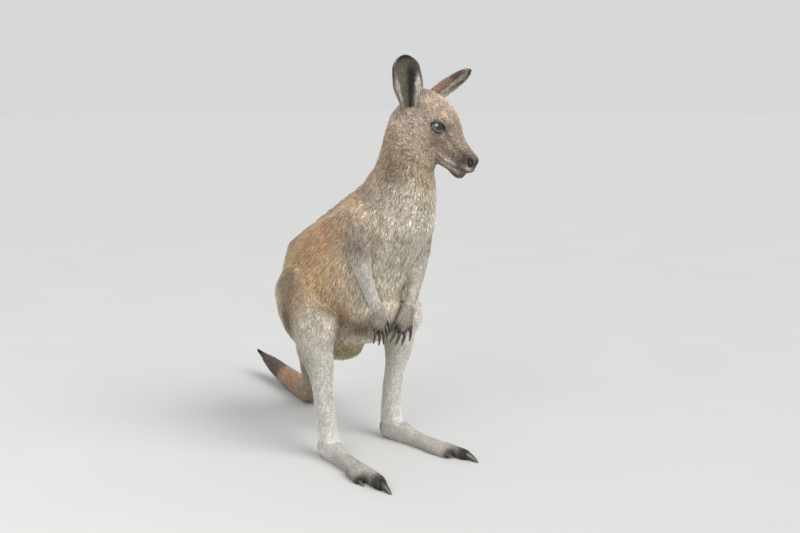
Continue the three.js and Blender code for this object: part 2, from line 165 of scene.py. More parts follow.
class Net:
    """A mesh's edges, along which values on its vertices are eased out."""

    def __init__(self, mesh):
        flat = np.empty(len(mesh.edges) * 2, np.int32)
        mesh.edges.foreach_get("vertices", flat)
        self.a, self.b = flat.reshape(-1, 2).T
        self.count = len(mesh.vertices)
        degree = np.bincount(self.a, minlength=self.count) + np.bincount(self.b, minlength=self.count)
        self.degree = np.maximum(degree, 1)

    def average(self, values):
        sums = [
            np.bincount(self.a, column[self.b], self.count) + np.bincount(self.b, column[self.a], self.count)
            for column in values.T
        ]
        return np.stack(sums, 1) / self.degree[:, None]

    def eased(self, values, rounds, share=0.5):
        for _ in range(rounds):
            values = values + share * (self.average(values) - values)
        return values


def shown(name, data):
    """A new object in the scene that holds a mesh, a light or a camera."""
    thing = bpy.data.objects.new(name, data)
    bpy.context.scene.collection.objects.link(thing)
    return thing


def evaluated(thing):
    """The mesh that thing's modifiers make of it. thing itself goes."""
    bpy.context.view_layer.update()
    mesh = bpy.data.meshes.new_from_object(thing.evaluated_get(bpy.context.evaluated_depsgraph_get()))
    bpy.data.objects.remove(thing)
    return mesh


def mesh_from(shape, name):
    mesh = bpy.data.meshes.new(name)
    shape.to_mesh(mesh)
    shape.free()
    return mesh


def fewer_faces(mesh, plain, kept):
    """The same form with a share of its faces kept, taking first those where plain is true."""
    thing = shown("fewer", mesh)
    group = thing.vertex_groups.new(name="plain")
    group.add([int(i) for i in np.flatnonzero(plain)], 1.0, "REPLACE")
    decimate = thing.modifiers.new("fewer", "DECIMATE")
    decimate.ratio = kept
    decimate.vertex_group = "plain"
    return evaluated(thing)


WAVES = 7  # how many wave trains cross
WAVES_PEAK = 2.6  # about how high they add up


def waves(points, size, seed):
    """Smooth variation from about -1 to 1 over space, with swells about size metres across."""
    draw = np.random.default_rng(seed)
    total = np.zeros(len(points))
    for _ in range(WAVES):
        heading = unit(draw.normal(size=3))
        pitch = 2 * math.pi / (size * draw.uniform(1.2, 3.0))
        total += np.sin(points @ heading * pitch + draw.uniform(0, 2 * math.pi))
    return total / WAVES_PEAK


def ramp(values, start, end):
    """0 before start, 1 after end, smooth in between."""
    share = np.clip((values - start) / (end - start), 0, 1)
    return share * share * (3 - 2 * share)


def swell(places, at, radii):
    """A soft mound of height 1 at a place, with the given radii."""
    return np.exp(-(((places - np.array(at)) / np.array(radii)) ** 2).sum(1))


def blended(values, other, amount):
    """values moved towards other, by an amount for each row."""
    return values + (other - values) * amount[:, None]


def linear(code):
    """An sRGB hex colour as three linear numbers."""
    parts = np.array([int(code[i:i + 2], 16) for i in (1, 3, 5)]) / 255
    return np.where(parts <= 0.04045, parts / 12.92, ((parts + 0.055) / 1.055) ** 2.4)


# ---- The skin ------------------------------------------------------------------------------------

BULK_VOXEL = 4 * MM
FINE_VOXEL = 2 * MM
FORM_KEPT = 0.2  # share of the form's faces asked for once the fine places are set aside
SKIN_KEPT = 0.33  # share of the finished skin's faces that stay once the locks have their roots
CUTS_CLOSED = 0.5 * MM  # how far solids are pushed out so that their cuts close
EYE_BULGE = 0.4 * MM
DOUBLES = 0.01 * MM  # corners of loose triangles that lie nearer than this are one
FACE_SIZE = 0.16  # metres from between the eyes to the face's end
FINE_START = -10  # millimetres forward of the skull's back
FINE_HEIGHT = 0.5  # metres up to which the hands, legs and feet reach


def joined_nodes(names, push):
    """The nodes' solids as one shape, pushed out a little so that their cuts close."""
    shape = bmesh.new()
    for name in names:
        shape.from_mesh(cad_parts[name].data)
    bmesh.ops.remove_doubles(shape, verts=shape.verts, dist=DOUBLES)
    shape.normal_update()
    for vert in shape.verts:
        vert.co += vert.normal * push
    return shape


def remeshed(shape, voxel):
    thing = shown("voxels", mesh_from(shape, "voxels"))
    voxels = thing.modifiers.new("voxels", "REMESH")
    voxels.mode = "VOXEL"
    voxels.voxel_size = voxel
    return evaluated(thing)


def rounded(mesh, rounds, settle):
    """Smooths the form and gives back, spread out evenly, the volume that this takes away."""
    net = Net(mesh)
    before = points_of(mesh)
    after = net.eased(before, rounds)
    set_points(mesh, after)
    normals = normals_of(mesh)
    lost = ((before - after) * normals).sum(1, keepdims=True)
    set_points(mesh, after + normals * net.eased(lost, settle))
    return mesh


def on_face(points):
    return np.linalg.norm(points - EYES_MIDDLE, axis=1) < FACE_SIZE


def plain_form(points):
    """True on the back, the neck and the tail's end, where large faces show the form as well as small."""
    fine = head_frame(points)[:, 0] > FINE_START
    for side in SIDES:
        low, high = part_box(f"hand_{side}")
        fine |= ((points > np.array(low)) & (points < np.array(high))).all(1)
    return ~(fine & (on_face(points) | (points[:, 2] < FINE_HEIGHT)))


class Nearest:
    """Which CAD node lies nearest to a point."""

    def __init__(self):
        self.names = [name for name in sorted(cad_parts) if part_of(name)]
        self.owner, self.corners, self.faces = [], [], []
        for k, name in enumerate(self.names):
            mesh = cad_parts[name].data
            mesh.calc_loop_triangles()
            base = len(self.corners)
            self.corners.extend(tuple(vert.co) for vert in mesh.vertices)
            for triangle in mesh.loop_triangles:
                self.faces.append(tuple(base + i for i in triangle.vertices))
                self.owner.append(k)
        self.tree = BVHTree.FromPolygons(self.corners, self.faces)

    def of(self, points):
        return np.array([self.owner[self.tree.find_nearest(point)[2]] for point in points])


nearest = Nearest()
NODE_PART = np.array([PARTS.index(part_of(name)) for name in nearest.names])
COAT_TABLE = np.array([COAT[part] for part in PARTS], float)

SOLE_HEIGHT = 5 * MM  # below this, skin that faces down is a bare pad pressed on the ground
SOLE_DEPTH = 0.3  # millimetres that the pads' skin lies inside the solids


def soles(points, normals):
    """1 on the bare pads under the feet, 0 elsewhere."""
    return ramp(-normals[:, 2], 0.5, 0.8) * (1 - ramp(points[:, 2], SOLE_HEIGHT, 2 * SOLE_HEIGHT))


NAPE = ((-8, 0, 12), (42, 42, 42))  # head place and reach where the skull's back melts into the neck
SADDLE = ((-95, 0, 450), (45, 130, 50))  # body place and reach where the back runs into the rump
SADDLE_FILLED = ((-100, 0, 415), (40, 130, 34))
SADDLE_FILL = 5  # millimetres that the form gains there
MELTING = 160  # rounds of easing that melt the nape and the saddle
FACE_COAT = (5, 85)  # head places, forward of the skull's back, between which the neck's coat runs out
NECK_DEPTH = 2.4  # what the neck's coat adds to the depth on the back of the head
FEET_START = -60  # body places forward of this can be pads


def depths_at(where, nodes, net):
    """The coat's depth in millimetres at each vertex, deeper on the back of the head than on the face."""
    depth = net.eased(COAT_TABLE[NODE_PART[nodes], 0:1], 40)[:, 0]
    on_the_head = NODE_PART[nodes] == PARTS.index("head")
    back = (1 - ramp(head_frame(where)[:, 0], *FACE_COAT)) * on_the_head
    return depth + NECK_DEPTH * net.eased(back[:, None], 20)[:, 0]


def bare_form():
    """The whole body and head as one smooth closed form that lies inside the coat."""
    bulk = rounded(remeshed(joined_nodes(SOFTENED, CUTS_CLOSED), BULK_VOXEL), 20, 40)
    shape = joined_nodes(FINE + both("eye"), EYE_BULGE)
    shape.from_mesh(bulk)
    form = rounded(remeshed(shape, FINE_VOXEL), 8, 20)
    net = Net(form)
    points = points_of(form)
    soft = np.maximum(swell(head_frame(points), *NAPE), swell(body_frame(points), *SADDLE))
    points = blended(points, net.eased(points, MELTING), soft)
    set_points(form, points)
    normals = normals_of(form)
    depth = depths_at(points, nearest.of(points), net)
    pads = soles(points, normals) * (body_frame(points)[:, 0] > FEET_START)
    depth = depth * (1 - pads) + SOLE_DEPTH * pads
    depth = depth - SADDLE_FILL * swell(body_frame(points), *SADDLE_FILLED)
    points = points - normals * depth[:, None] * MM
    points[:, 2] = np.maximum(points[:, 2], SOLE_DEPTH * MM)
    set_points(form, points)
    return fewer_faces(form, plain_form(points_of(form)), FORM_KEPT)


# ---- The face ------------------------------------------------------------------------------------

EYE_GAZE = (0.35, 0.92, 0.15)  # forward, outward, up: where the eye looks
EYE_SLANT = math.radians(13)  # how far the opening's front corner is raised above the muzzle's axis
LID = {"half_length": 14.6, "upper": 7.8, "lower": 8.0, "corner": 0.55, "lift": 1.7, "sunk": 2.2}
FINE_REACH = 24 * MM  # how far round each eye the skin has finer faces
HAND_REACH = 42 * MM  # the same round each hand
SNOUT_START = 128  # millimetres forward of the skull's back


def eye_axes(sign):
    """The eye's own axes: along the opening to its front corner, up across it, and out of the head."""
    out = unit(np.array([EYE_GAZE[0], EYE_GAZE[1] * sign, EYE_GAZE[2]]) @ HEAD_AXES)
    slant = math.cos(EYE_SLANT) * FACE_FORWARD + math.sin(EYE_SLANT) * FACE_UP
    along = unit(slant - out * (slant @ out))
    across = np.cross(along, out) * sign
    return along, across, out


def eye_place(sign):
    return on_head(EYE["fwd"], EYE["out"] * sign, EYE["up"])


def lid_share(along, across):
    """1 on the rim of the eye's opening, from shares of its half-length and half-height."""
    return np.sqrt(across ** 2 + along ** 2 + LID["corner"] * across * along)


def lid_distance(points, sign):
    """How far each point lies outside the eye's opening, in millimetres over the ball. Minus is inside."""
    along, across, out = eye_axes(sign)
    away = (points - eye_place(sign)) / MM
    reach = np.linalg.norm(away, axis=1)
    ray = away / np.maximum(reach, 1e-9)[:, None]
    turn = np.arccos(np.clip(ray @ out, -1, 1))
    flat = np.hypot(ray @ along, ray @ across)
    x = EYE["radius"] * turn * (ray @ along) / np.maximum(flat, 1e-9)
    y = EYE["radius"] * turn * (ray @ across) / np.maximum(flat, 1e-9)
    half = np.where(y > 0, LID["upper"], LID["lower"])
    outside = (lid_share(np.abs(x) / LID["half_length"], np.abs(y) / half) - 1) * half
    return outside, reach, turn


def finer(mesh, near):
    """Splits the faces whose corners are all near into quarters."""
    shape = bmesh.new()
    shape.from_mesh(mesh)
    shape.verts.ensure_lookup_table()
    edges = [edge for edge in shape.edges if near[edge.verts[0].index] and near[edge.verts[1].index]]
    bmesh.ops.subdivide_edges(shape, edges=edges, cuts=1, use_grid_fill=True)
    bmesh.ops.triangulate(shape, faces=[face for face in shape.faces if len(face.verts) > 4])
    return mesh_from(shape, "form")


def near_details(points):
    """Where the skin needs finer faces: round both eyes, on the snout and on the hands."""
    near = head_frame(points)[:, 0] > SNOUT_START
    for sign in SIDES.values():
        near |= np.linalg.norm(points - eye_place(sign), axis=1) < FINE_REACH
    near &= on_face(points)
    for side in SIDES:
        near |= np.linalg.norm(points - centre(f"hand_{side}"), axis=1) < HAND_REACH
    return near


NOSTRIL = {"fwd": 172, "out": 15.5, "up": 11.5, "long": 11.5, "thin": 6.6, "pit": 10.0, "curve": 0.03}
NOSTRIL_LEAN = math.radians(52)  # its back end is higher than its front end
MOUTH = [
    (184, 0, -7),
    (178, 14, -8),
    (169, 16, -12),
    (158, 17, -16),
    (147, 18, -19),
    (132, 21, -20.5),
    (116, 24, -20),
]
CLEFT = [(183, 0, 4), (178, 0, -4), (171, 0, -9)]
TEAR_LINE = [(98, 31, 28), (109, 27, 25), (135, 22, 17), (147, 20, 16), (160, 18, 13)]


def mirrored(route, sign):
    return [(fwd, out * sign, up) for fwd, out, up in route]


def from_route(places, route):
    """Distance of places, in millimetres, from a line through the route's points."""
    nearest_yet = np.full(len(places), 1e9)
    for start, end in zip(route[:-1], route[1:]):
        start, end = np.array(start, float), np.array(end, float)
        run = end - start
        share = np.clip((places - start) @ run / (run @ run), 0, 1)
        nearest_yet = np.minimum(nearest_yet, np.linalg.norm(places - start - share[:, None] * run, axis=1))
    return nearest_yet


def nostril_distance(places, sign):
    """1 on the rim of a nostril, less inside it, more outside."""
    away = places - np.array([NOSTRIL["fwd"], NOSTRIL["out"] * sign, NOSTRIL["up"]])
    lengthwise = unit([-math.cos(NOSTRIL_LEAN), 0.35 * sign, math.sin(NOSTRIL_LEAN)])
    along = away @ lengthwise
    bend = away - along[:, None] * lengthwise
    bend[:, 2] += NOSTRIL["curve"] * along ** 2  # the comma's curve
    return np.hypot(along / NOSTRIL["long"], np.linalg.norm(bend, axis=1) / NOSTRIL["thin"])


Form = namedtuple("Form", "name rise at radii")
FACE_FORMS = [
    Form("chin", 8.0, (162, 0, -29), (19, 18, 13)),
    Form("lower jaw", 3.0, (112, 0, -38), (24, 26, 14)),
    Form("brow", 2.2, (74, 33, 47), (20, 12, 6)),
    Form("cheekbone", 1.6, (100, 34, 2), (22, 10, 12)),
    Form("dip before the eye", -2.0, (98, 27, 26), (8, 8, 7)),
    Form("hollow beside the bridge", -1.2, (120, 22, 14), (16, 9, 7)),
    Form("whisker pad", 1.5, (152, 19, -2), (14, 8, 8)),
    Form("wing of the nose", 1.3, (172, 17, 11), (8, 5, 5)),
]
MOUTH_GROOVE = {"deep": 1.7, "half": 1.5, "lips": 0.9, "lips_from": 3.4, "lips_half": 1.8}
CLEFT_DEEP = 1.4


def hill(away, half):
    """1 on a line or a place, falling off to 0 over about half on each side."""
    return np.exp(-(away / half) ** 2)


def twins(at):
    """A place on the middle by itself, or a place at the side with its twin on the other side."""
    fwd, out, up = at
    return [(fwd, out * sign, up) for sign in (SIDES.values() if out else (1,))]


def carve_face(mesh):
    """Adds the lids, brows, nostrils, mouth and the soft forms of the face to the skin."""
    points, normals = points_of(mesh), normals_of(mesh)
    places = head_frame(points)
    rise = -CLEFT_DEEP * hill(from_route(places, CLEFT), MOUTH_GROOVE["half"])
    for form in FACE_FORMS:
        for at in twins(form.at):
            rise += form.rise * swell(places, at, form.radii)
    for sign in SIDES.values():
        from_mouth = from_route(places, mirrored(MOUTH, sign))
        rise -= MOUTH_GROOVE["deep"] * hill(from_mouth, MOUTH_GROOVE["half"])
        rise += MOUTH_GROOVE["lips"] * hill(from_mouth - MOUTH_GROOVE["lips_from"], MOUTH_GROOVE["lips_half"])
        rise -= NOSTRIL["pit"] * np.exp(-nostril_distance(places, sign) ** 3)
    points = points + normals * (rise * on_face(points))[:, None] * MM
    for sign in SIDES.values():
        points = lidded(points, sign)
    set_points(mesh, points)


GROOVE = {"deep": 3.6, "half": 2.2, "back": 0.66}


def carve_hands(mesh):
    """Parts the fingers with grooves that run up between their claws."""
    points, normals = points_of(mesh), normals_of(mesh)
    rise = np.zeros(len(points))
    for side in SIDES:
        palm = centre(f"hand_{side}") / MM
        tips = [centre(f"finger_claw_{k}_{side}") / MM for k in range(1, 6)]
        for one, other in zip(tips[:-1], tips[1:]):
            between = (one + other) / 2
            line = [between, between + (palm - between) * GROOVE["back"]]
            rise -= GROOVE["deep"] * hill(from_route(points / MM, line), GROOVE["half"])
    set_points(mesh, points + normals * rise[:, None] * MM)


HALF_BALL = 1.5  # turn in radians from the gaze, past which nothing belongs to the lids
RIM_SNAP = 0.55  # vertices within this of the rim are drawn onto it, in millimetres


def lidded(points, sign):
    """Draws the skin over the eyeball up to the rim of its opening, and tucks it under the ball inside."""
    outside, reach, turn = lid_distance(points, sign)
    near = (turn < HALF_BALL) & (reach < EYE["radius"] + 9)
    snapped = np.where(np.abs(outside) < RIM_SNAP, 0.0, outside)
    lid = 1 - ramp(snapped, 1.0, 9.0)
    fold = 0.35 * hill(snapped - 3.6, 1.3)
    lid_radius = EYE["radius"] + LID["lift"] * (1 - fold)
    target = reach + (lid_radius - reach) * lid
    target = np.where(snapped < -0.01, EYE["radius"] - LID["sunk"], target)
    target = np.where(near, target, reach)
    heart = eye_place(sign)
    return heart + (points - heart) * (target / np.maximum(reach, 1e-9))[:, None]


# ---- Ears ----------------------------------------------------------------------------------------
# Each ear is a leaf curled about its length. Stations are (share of the length, half-width, depth, fwd).

EAR_LENGTH = 106
EAR_SHEET = 1.6 * MM
EAR_COAT = 0.8
EAR_LEAF = np.array([
    (-0.13, 15, 15, 0),
    (0.12, 21, 15, 0),
    (0.42, 30, 15, 0),
    (0.70, 28, 12.5, 1),
    (0.88, 25, 9, 2),
    (1.01, 19, 6, 2),
])
EAR_ROUNDING = 0.74  # share of the length from which the edges draw in to the rounded tip
EARS = {
    "left": {"base": (15, 33, 42), "tip": (0.68, -0.46, 0.6), "open": (0.36, -0.7, -0.5)},
    "right": {"base": (13, -37.5, 21), "tip": (-0.052, 0.141, 0.989), "open": (-0.5, -0.85, 0)},
}
EAR_CURL = math.radians(113)  # how far round the edges come from the middle of the back


def ear_axes(side):
    """Up the ear, across it, and out of its cup, with its root."""
    tip = unit(EARS[side]["tip"])
    out = np.array(EARS[side]["open"], float)
    out = unit(out - tip * (out @ tip))
    return on_head(*EARS[side]["base"]), tip, np.cross(tip, out), out


def through(share, column):
    """A smooth value between the leaf's stations."""
    steps = (-0.05, 0, 0.05)
    return sum(np.interp(share + step, EAR_LEAF[:, 0], EAR_LEAF[:, column]) for step in steps) / len(steps)


def half_wide(share):
    """The leaf's half-width, never so small that a share of it has no meaning."""
    return np.maximum(through(share, 1), 4)


def ear_sheet(side):
    """The ear as a thin cupped leaf, closed all round."""
    root, tip, across, out = ear_axes(side)
    shape = bmesh.new()
    bmesh.ops.create_grid(shape, x_segments=34, y_segments=46, size=1)
    for vert in shape.verts:
        share = EAR_LEAF[0, 0] + (vert.co.y + 1) / 2 * (1 - EAR_LEAF[0, 0])
        late = max(0.0, (share - EAR_ROUNDING) / (1 - EAR_ROUNDING))
        round_tip = math.sqrt(max(0.0, 1 - late ** 2.4)) + 0.02
        curl = vert.co.x * EAR_CURL
        wide = (through(share, 1) - EAR_COAT) * round_tip
        deep = (through(share, 2) - EAR_COAT) * (0.35 + 0.65 * round_tip)
        forward = through(share, 3) - deep * math.cos(curl)
        place = root + MM * (tip * EAR_LENGTH * share + across * wide * math.sin(curl) + out * forward)
        vert.co = Vector(place)
    bmesh.ops.remove_doubles(shape, verts=shape.verts, dist=0.2 * MM)
    bmesh.ops.recalc_face_normals(shape, faces=shape.faces)
    thing = shown("ear", mesh_from(shape, "ear"))
    sheet = thing.modifiers.new("sheet", "SOLIDIFY")
    sheet.thickness = EAR_SHEET
    sheet.offset = 0
    return evaluated(thing)


def ear_places(points, side):
    """Share of the ear's length, place across it and out of the cup, the last two in millimetres."""
    root, tip, across, out = ear_axes(side)
    away = (points - root) / MM
    return away @ tip / EAR_LENGTH, away @ across, away @ out


def inside_ear(where, facing, side):
    """1 on the inner face of an ear's leaf, 0 on its back."""
    _, _, across, out = ear_axes(side)
    share, wide, deep = ear_places(where, side)
    bulge = np.stack([wide, deep - through(share, 3)], 1)
    turned = np.stack([facing @ across, facing @ out], 1)
    return ramp(-(unit(bulge) * turned).sum(1), -0.15, 0.15)


CUP_WALL = 2.5  # millimetres between the back of an ear's cup and the head's skin in front of it
CUP_SPAN = (-0.06, 0.03, 0.34, 0.5)  # shares of the ear between which the head gives way to its cup
CUP_REACH = 40  # millimetres out of the cup, past which the head keeps its form


def cup_floor(points, side):
    """How far the head's skin gives way before an ear's opening, and how far out the cup's floor lies."""
    share, across, deep = ear_places(points, side)
    edge = np.clip(np.abs(across) / half_wide(share), 0, 1)
    floor = through(share, 3) - (through(share, 2) - CUP_WALL) * np.sqrt(1 - edge ** 2)
    low, full, late, high = CUP_SPAN
    amount = (1 - ramp(edge, 0.72, 0.96)) * ramp(share, low, full) * (1 - ramp(share, late, high))
    return amount * (deep < CUP_REACH), deep, floor


def open_ears(mesh):
    """Hollows the head before each ear, so that its opening runs down to the notch."""
    points = points_of(mesh)
    for side in SIDES:
        amount, deep, floor = cup_floor(points, side)
        points = points + (amount * np.minimum(floor - deep, 0))[:, None] * ear_axes(side)[3] * MM
    set_points(mesh, points)


# ---- The skin as one mesh ------------------------------------------------------------------------

def whole_skin():
    form = bare_form()
    form = finer(form, near_details(points_of(form)))
    carve_face(form)
    carve_hands(form)
    open_ears(form)
    shape = bmesh.new()
    shape.from_mesh(form)
    for side in SIDES:
        shape.from_mesh(ear_sheet(side))
    bmesh.ops.recalc_face_normals(shape, faces=shape.faces)
    skin = shown("skin", mesh_from(shape, "skin"))
    skin.data.shade_smooth()
    bpy.context.view_layer.objects.active = skin
    skin.select_set(True)
    bpy.ops.object.mode_set(mode="EDIT")
    bpy.ops.mesh.select_all(action="SELECT")
    bpy.ops.uv.smart_project(angle_limit=math.radians(66), island_margin=0.001)
    bpy.ops.object.mode_set(mode="OBJECT")
    skin.data.uv_layers[0].name = "OFBake"
    return skin


skin = whole_skin()
net = Net(skin.data)
points = points_of(skin.data)
normals = normals_of(skin.data)
node_of = nearest.of(points)
part_index = NODE_PART[node_of]
is_part = {part: part_index == k for k, part in enumerate(PARTS)}
places = head_frame(points)


def grows_on(node):
    """1 at the skin's vertices that lie nearest to a CAD node, 0 elsewhere."""
    return (node_of == nearest.names.index(node)).astype(float)


spots_at = body_frame(points)

# What is added to a coat row (depth, length, width, locks, grizzle), and what share of a length goes.
MANE = np.array([2.4, 4.6, 0.3, -14, 0.2])  # on the back of the head
EAR_FRINGE = np.array([2.2, 8.0, 0.2, 0, 0])  # along the cup's lower edges
SHORTER = {"ear tip": 0.5, "beside the ear": 0.55, "tail's end": 0.55, "nose": 0.45}
FLATTER_NOSE = 0.4
BESIDE_EAR = {"up": 15 * MM, "reach": (34 * MM,) * 3}
NOSE_COAT = ((180, 0, 6), (22, 30, 26))
TAIL_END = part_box("tail_tip")[1][1]


def even_coat():
    """The coat's rows at every vertex, melting into one another, with the mane on the back of the head."""
    mane = ((1 - ramp(places[:, 0], *FACE_COAT)) * is_part["head"])[:, None]
    return net.eased(COAT_TABLE[part_index], 12) + net.eased(mane, 12) * MANE


def bowl(side):
    """1 on the head's skin that forms the floor of an ear's cup, 0 elsewhere."""
    amount, deep, floor = cup_floor(points, side)
    return amount * (1 - ramp(np.abs(deep - floor), 2, 4)) * ~is_part["ear"]


def varied_coat(coat):
    """The coat with its fringes, and with shorter locks on the tips, the nose and before the ears."""
    for side in SIDES:
        share, across, _ = ear_places(points, side)
        cup = inside_ear(points, normals, side) * grows_on(f"ear_{side}")
        fringe = cup * ramp(np.abs(across) / half_wide(share), 0.4, 0.75) * (1 - ramp(share, 0.4, 0.75))
        coat = coat + fringe[:, None] * EAR_FRINGE
        coat[:, 1] *= 1 - SHORTER["ear tip"] * ramp(share, 0.7, 0.98) * grows_on(f"ear_{side}")
    for side in SIDES:
        root, tip, _, _ = ear_axes(side)
        beside = swell(points, root + tip * BESIDE_EAR["up"], BESIDE_EAR["reach"]) * is_part["head"]
        coat[:, 1] *= 1 - SHORTER["beside the ear"] * beside
        coat = blended(coat, COAT_TABLE[PARTS.index("ear")], in_cup[side])
    near_end = ramp(points[:, 1], TAIL_END - 45 * MM, TAIL_END - 5 * MM) * is_part["tail_tip"]
    coat[:, 1] *= 1 - SHORTER["tail's end"] * near_end
    on_nose = swell(places, *NOSE_COAT) * is_part["head"]
    coat[:, 1] *= 1 - SHORTER["nose"] * on_nose
    coat[:, 0] *= 1 - FLATTER_NOSE * on_nose
    return coat


in_cup = {side: bowl(side) for side in SIDES}
coat = varied_coat(even_coat())

# ---- Lie of the coat -----------------------------------------------------------------------------

DOWN = np.array([0.0, 0.0, -1.0])


def from_to(start, end):
    return unit(centre(end) - centre(start))


def lie_of(node):
    """Which way the hairs of a node point."""
    name, _, side = node.rpartition("_")
    if node == "head":
        return -FACE_FORWARD
    if name == "ear":
        return ear_axes(side)[1]
    if name == "thigh":
        return unit(from_to("rump", f"shank_{side}") + 0.5 * DOWN)
    if name == "shank":
        return DOWN
    if name in ("foot", "toe_fourth", "toe_fifth"):
        return from_to(f"foot_{side}", f"toe_fourth_{side}")
    if name == "upper_arm":
        return from_to(f"upper_arm_{side}", f"forearm_{side}")
    if name in ("forearm", "hand"):
        return from_to(f"forearm_{side}", f"hand_{side}")
    return {
        "neck": unit(from_to("head", "chest") + 0.3 * DOWN),
        "chest": unit(from_to("neck", "belly") + 0.6 * DOWN),
        "belly": unit(from_to("chest", "rump") + 0.8 * DOWN),
        "rump": unit(from_to("belly", "tail_base") + 0.5 * DOWN),
        "tail_base": from_to("tail_base", "tail_middle"),
        "tail_middle": from_to("tail_base", "tail_tip"),
        "tail_tip": from_to("tail_middle", "tail_tip"),
    }[node]


lie = np.array([lie_of(name) for name in nearest.names])[node_of]
for side in SIDES:
    lie = blended(lie, ear_axes(side)[1], in_cup[side])
lie = net.eased(lie, 25)
lie = unit(lie - normals * (lie * normals).sum(1, keepdims=True))

# ---- Markings ------------------------------------------------------------------------------------
# Every part has a colour on its upper and its under side. Softer patches, given by place and radii in
# millimetres, lie over them, on both sides of the body. Some patches carry painted shade, the pale heel
# also painted light, and painted shade darkens the trunk where limbs lie against it.

UPPER_UNDER = {
    "rump": ("#b6926c", "#b59b77"),
    "belly": ("#cda26f", "#e2d4bc"),
    "chest": ("#d8bb9b", "#e3d6c1"),
    "neck": ("#b2977a", "#aa9678"),
    "head": ("#aa947e", "#9e8d7a"),
    "ear": ("#8a7361", "#8c8376"),
    "tail_base": ("#a49376", "#948770"),
    "tail_middle": ("#a77c58", "#92785b"),
    "tail_tip": ("#554139", "#554139"),
    "thigh": ("#c8baa4", "#d8d0c2"),
    "shank": ("#d4cec2", "#dedbd4"),
    "foot": ("#c9c2b9", "#c6bfb6"),
    "toe": ("#b5ada3", "#8f867c"),
    "upper_arm": ("#9f917f", "#afa08b"),
    "forearm": ("#b7b0a6", "#cec8be"),
    "hand": ("#9a9086", "#978b7f"),
}
Patch = namedtuple("Patch", "name colour strength at radii")
BODY_PATCHES = [
    Patch("rust upper back", "#d09f74", 0.75, (-20, 60, 500), (85, 60, 50)),
    Patch("ochre flank", "#d0aa76", 0.8, (15, 105, 395), (50, 30, 45)),
    Patch("ochre low flank", "#ae8340", 0.85, (50, 80, 325), (26, 26, 34)),
    Patch("brown haunch", "#b0906a", 0.7, (-60, 132, 345), (60, 42, 60)),
    Patch("grey rump", "#8f775b", 0.7, (-75, 120, 380), (36, 40, 42)),
    Patch("grey hip", "#4a3d29", 0.8, (-68, 139, 298), (25, 34, 46)),
    Patch("pale thigh", "#dcd3c2", 0.75, (18, 140, 296), (38, 34, 38)),
    Patch("pale knee", "#f0e9de", 0.85, (78, 118, 300), (22, 34, 44)),
    # painted shade in the crease where the thigh meets the belly
    Patch("dark groin", "#5a4c30", 0.8, (50, 80, 290), (20, 24, 26)),
    # olive-brown hair on the low belly, darkened further as painted shade under the belly
    Patch("olive low belly", "#5f4c25", 0.9, (92, 52, 298), (40, 34, 30)),
    Patch("pale hanging belly", "#bab083", 0.7, (5, 30, 240), (50, 60, 22)),
    Patch("pale belly", "#e8deca", 0.8, (140, 0, 410), (50, 60, 70)),
    Patch("dark elbow", "#83796f", 0.7, (135, 108, 498), (26, 20, 30)),
    Patch("warm shoulder", "#d9b997", 0.6, (110, 100, 555), (34, 30, 26)),
    Patch("pale chest", "#f0e6d6", 0.8, (195, 35, 548), (38, 62, 58)),
    # a dark fur parting where the neck meets the head, darkened further as painted shade under the head
    Patch("dark throat", "#75634c", 0.85, (184, 56, 642), (30, 30, 40)),
    # pale heel hair, lightened further as painted light falling on the heels
    Patch("pale heel", "#faf8f2", 0.9, (15, 112, 32), (42, 34, 36)),
    Patch("grey shank top", "#b3aa96", 0.5, (12, 138, 222), (26, 26, 40)),
    Patch("grey shank edge", "#9c8d74", 0.7, (-12, 138, 215), (16, 34, 45)),
]
HEAD_PATCHES = [
    Patch("pink forehead", "#cfb8a5", 0.75, (62, 0, 62), (30, 28, 20)),
    Patch("bridge", "#958678", 0.7, (126, 0, 28), (24, 16, 14)),
    Patch("dark muzzle", "#372b25", 0.95, (161, 8, 6), (23, 26, 19)),
    Patch("nose", "#241f1c", 0.95, (183, 0, 11), (11, 16, 12)),
    Patch("pale lip", "#a89a88", 0.8, (175, 15, -3), (10, 8, 4)),
    # dark brown chin hair, darkened further as painted shade under the jaw
    Patch("chin", "#463824", 0.9, (160, 0, -28), (20, 20, 9)),
    Patch("dark under the eye", "#74614f", 0.65, (95, 31, 8), (20, 14, 7)),
    Patch("brown cheek", "#8d755d", 0.6, (118, 30, 2), (20, 18, 14)),
    Patch("grey temple", "#96877a", 0.7, (36, 46, 16), (26, 20, 24)),
    Patch("pale jaw", "#e6dccb", 0.75, (143, 20, -19), (21, 14, 8)),
    Patch("pale brow", "#c4ac92", 0.65, (76, 36, 50), (18, 12, 6)),
]
# Painted shade: the trunk's coat is darkened where a limb lies against it.
CREASE_SHADE_COLOUR = linear("#6d5a43")
CREASE_SHADE_STRENGTH = 0.6
CREASE_REACH = 12  # millimetres from the limb
CREASE_TOP = (470, 520)  # body places up between which the painted crease shade runs out
CREASE_BACK = (-5, 25)  # and forward of which they begin
DARK_ENDS_COLOUR = linear("#1f1612")
DARK_ENDS_STRENGTH = 0.92
DARK_TOWARDS = {  # millimetres from a claw to which its end is all dark, and to which darkness reaches
    "claw_fifth": (8, 30),
    "claw_third": (8, 26),
    "claw_fourth_left": (22, 50),
    "claw_fourth_right": (28, 62),
    "finger_claw": (12, 31),
}
LIP_COLOUR = linear("#3a2e26")
RIM_COLOUR = linear("#1a1412")
# Painted highlight: the pale line of the wet lower lid margin.
LID_HIGHLIGHT_COLOUR = linear("#8d7d74")
# Painted shade: near black deep inside the nostrils.
NOSTRIL_SHADE_COLOUR = linear("#070504")
PAD_COLOUR = linear("#2c2521")
TEAR_COLOUR = linear("#3f332b")
PATCH_PEAK = 1.25  # patches are this much over full at the middle, so that their hearts are even
COLOURS_MELT = 150  # rounds of easing between one part's colours and the next's


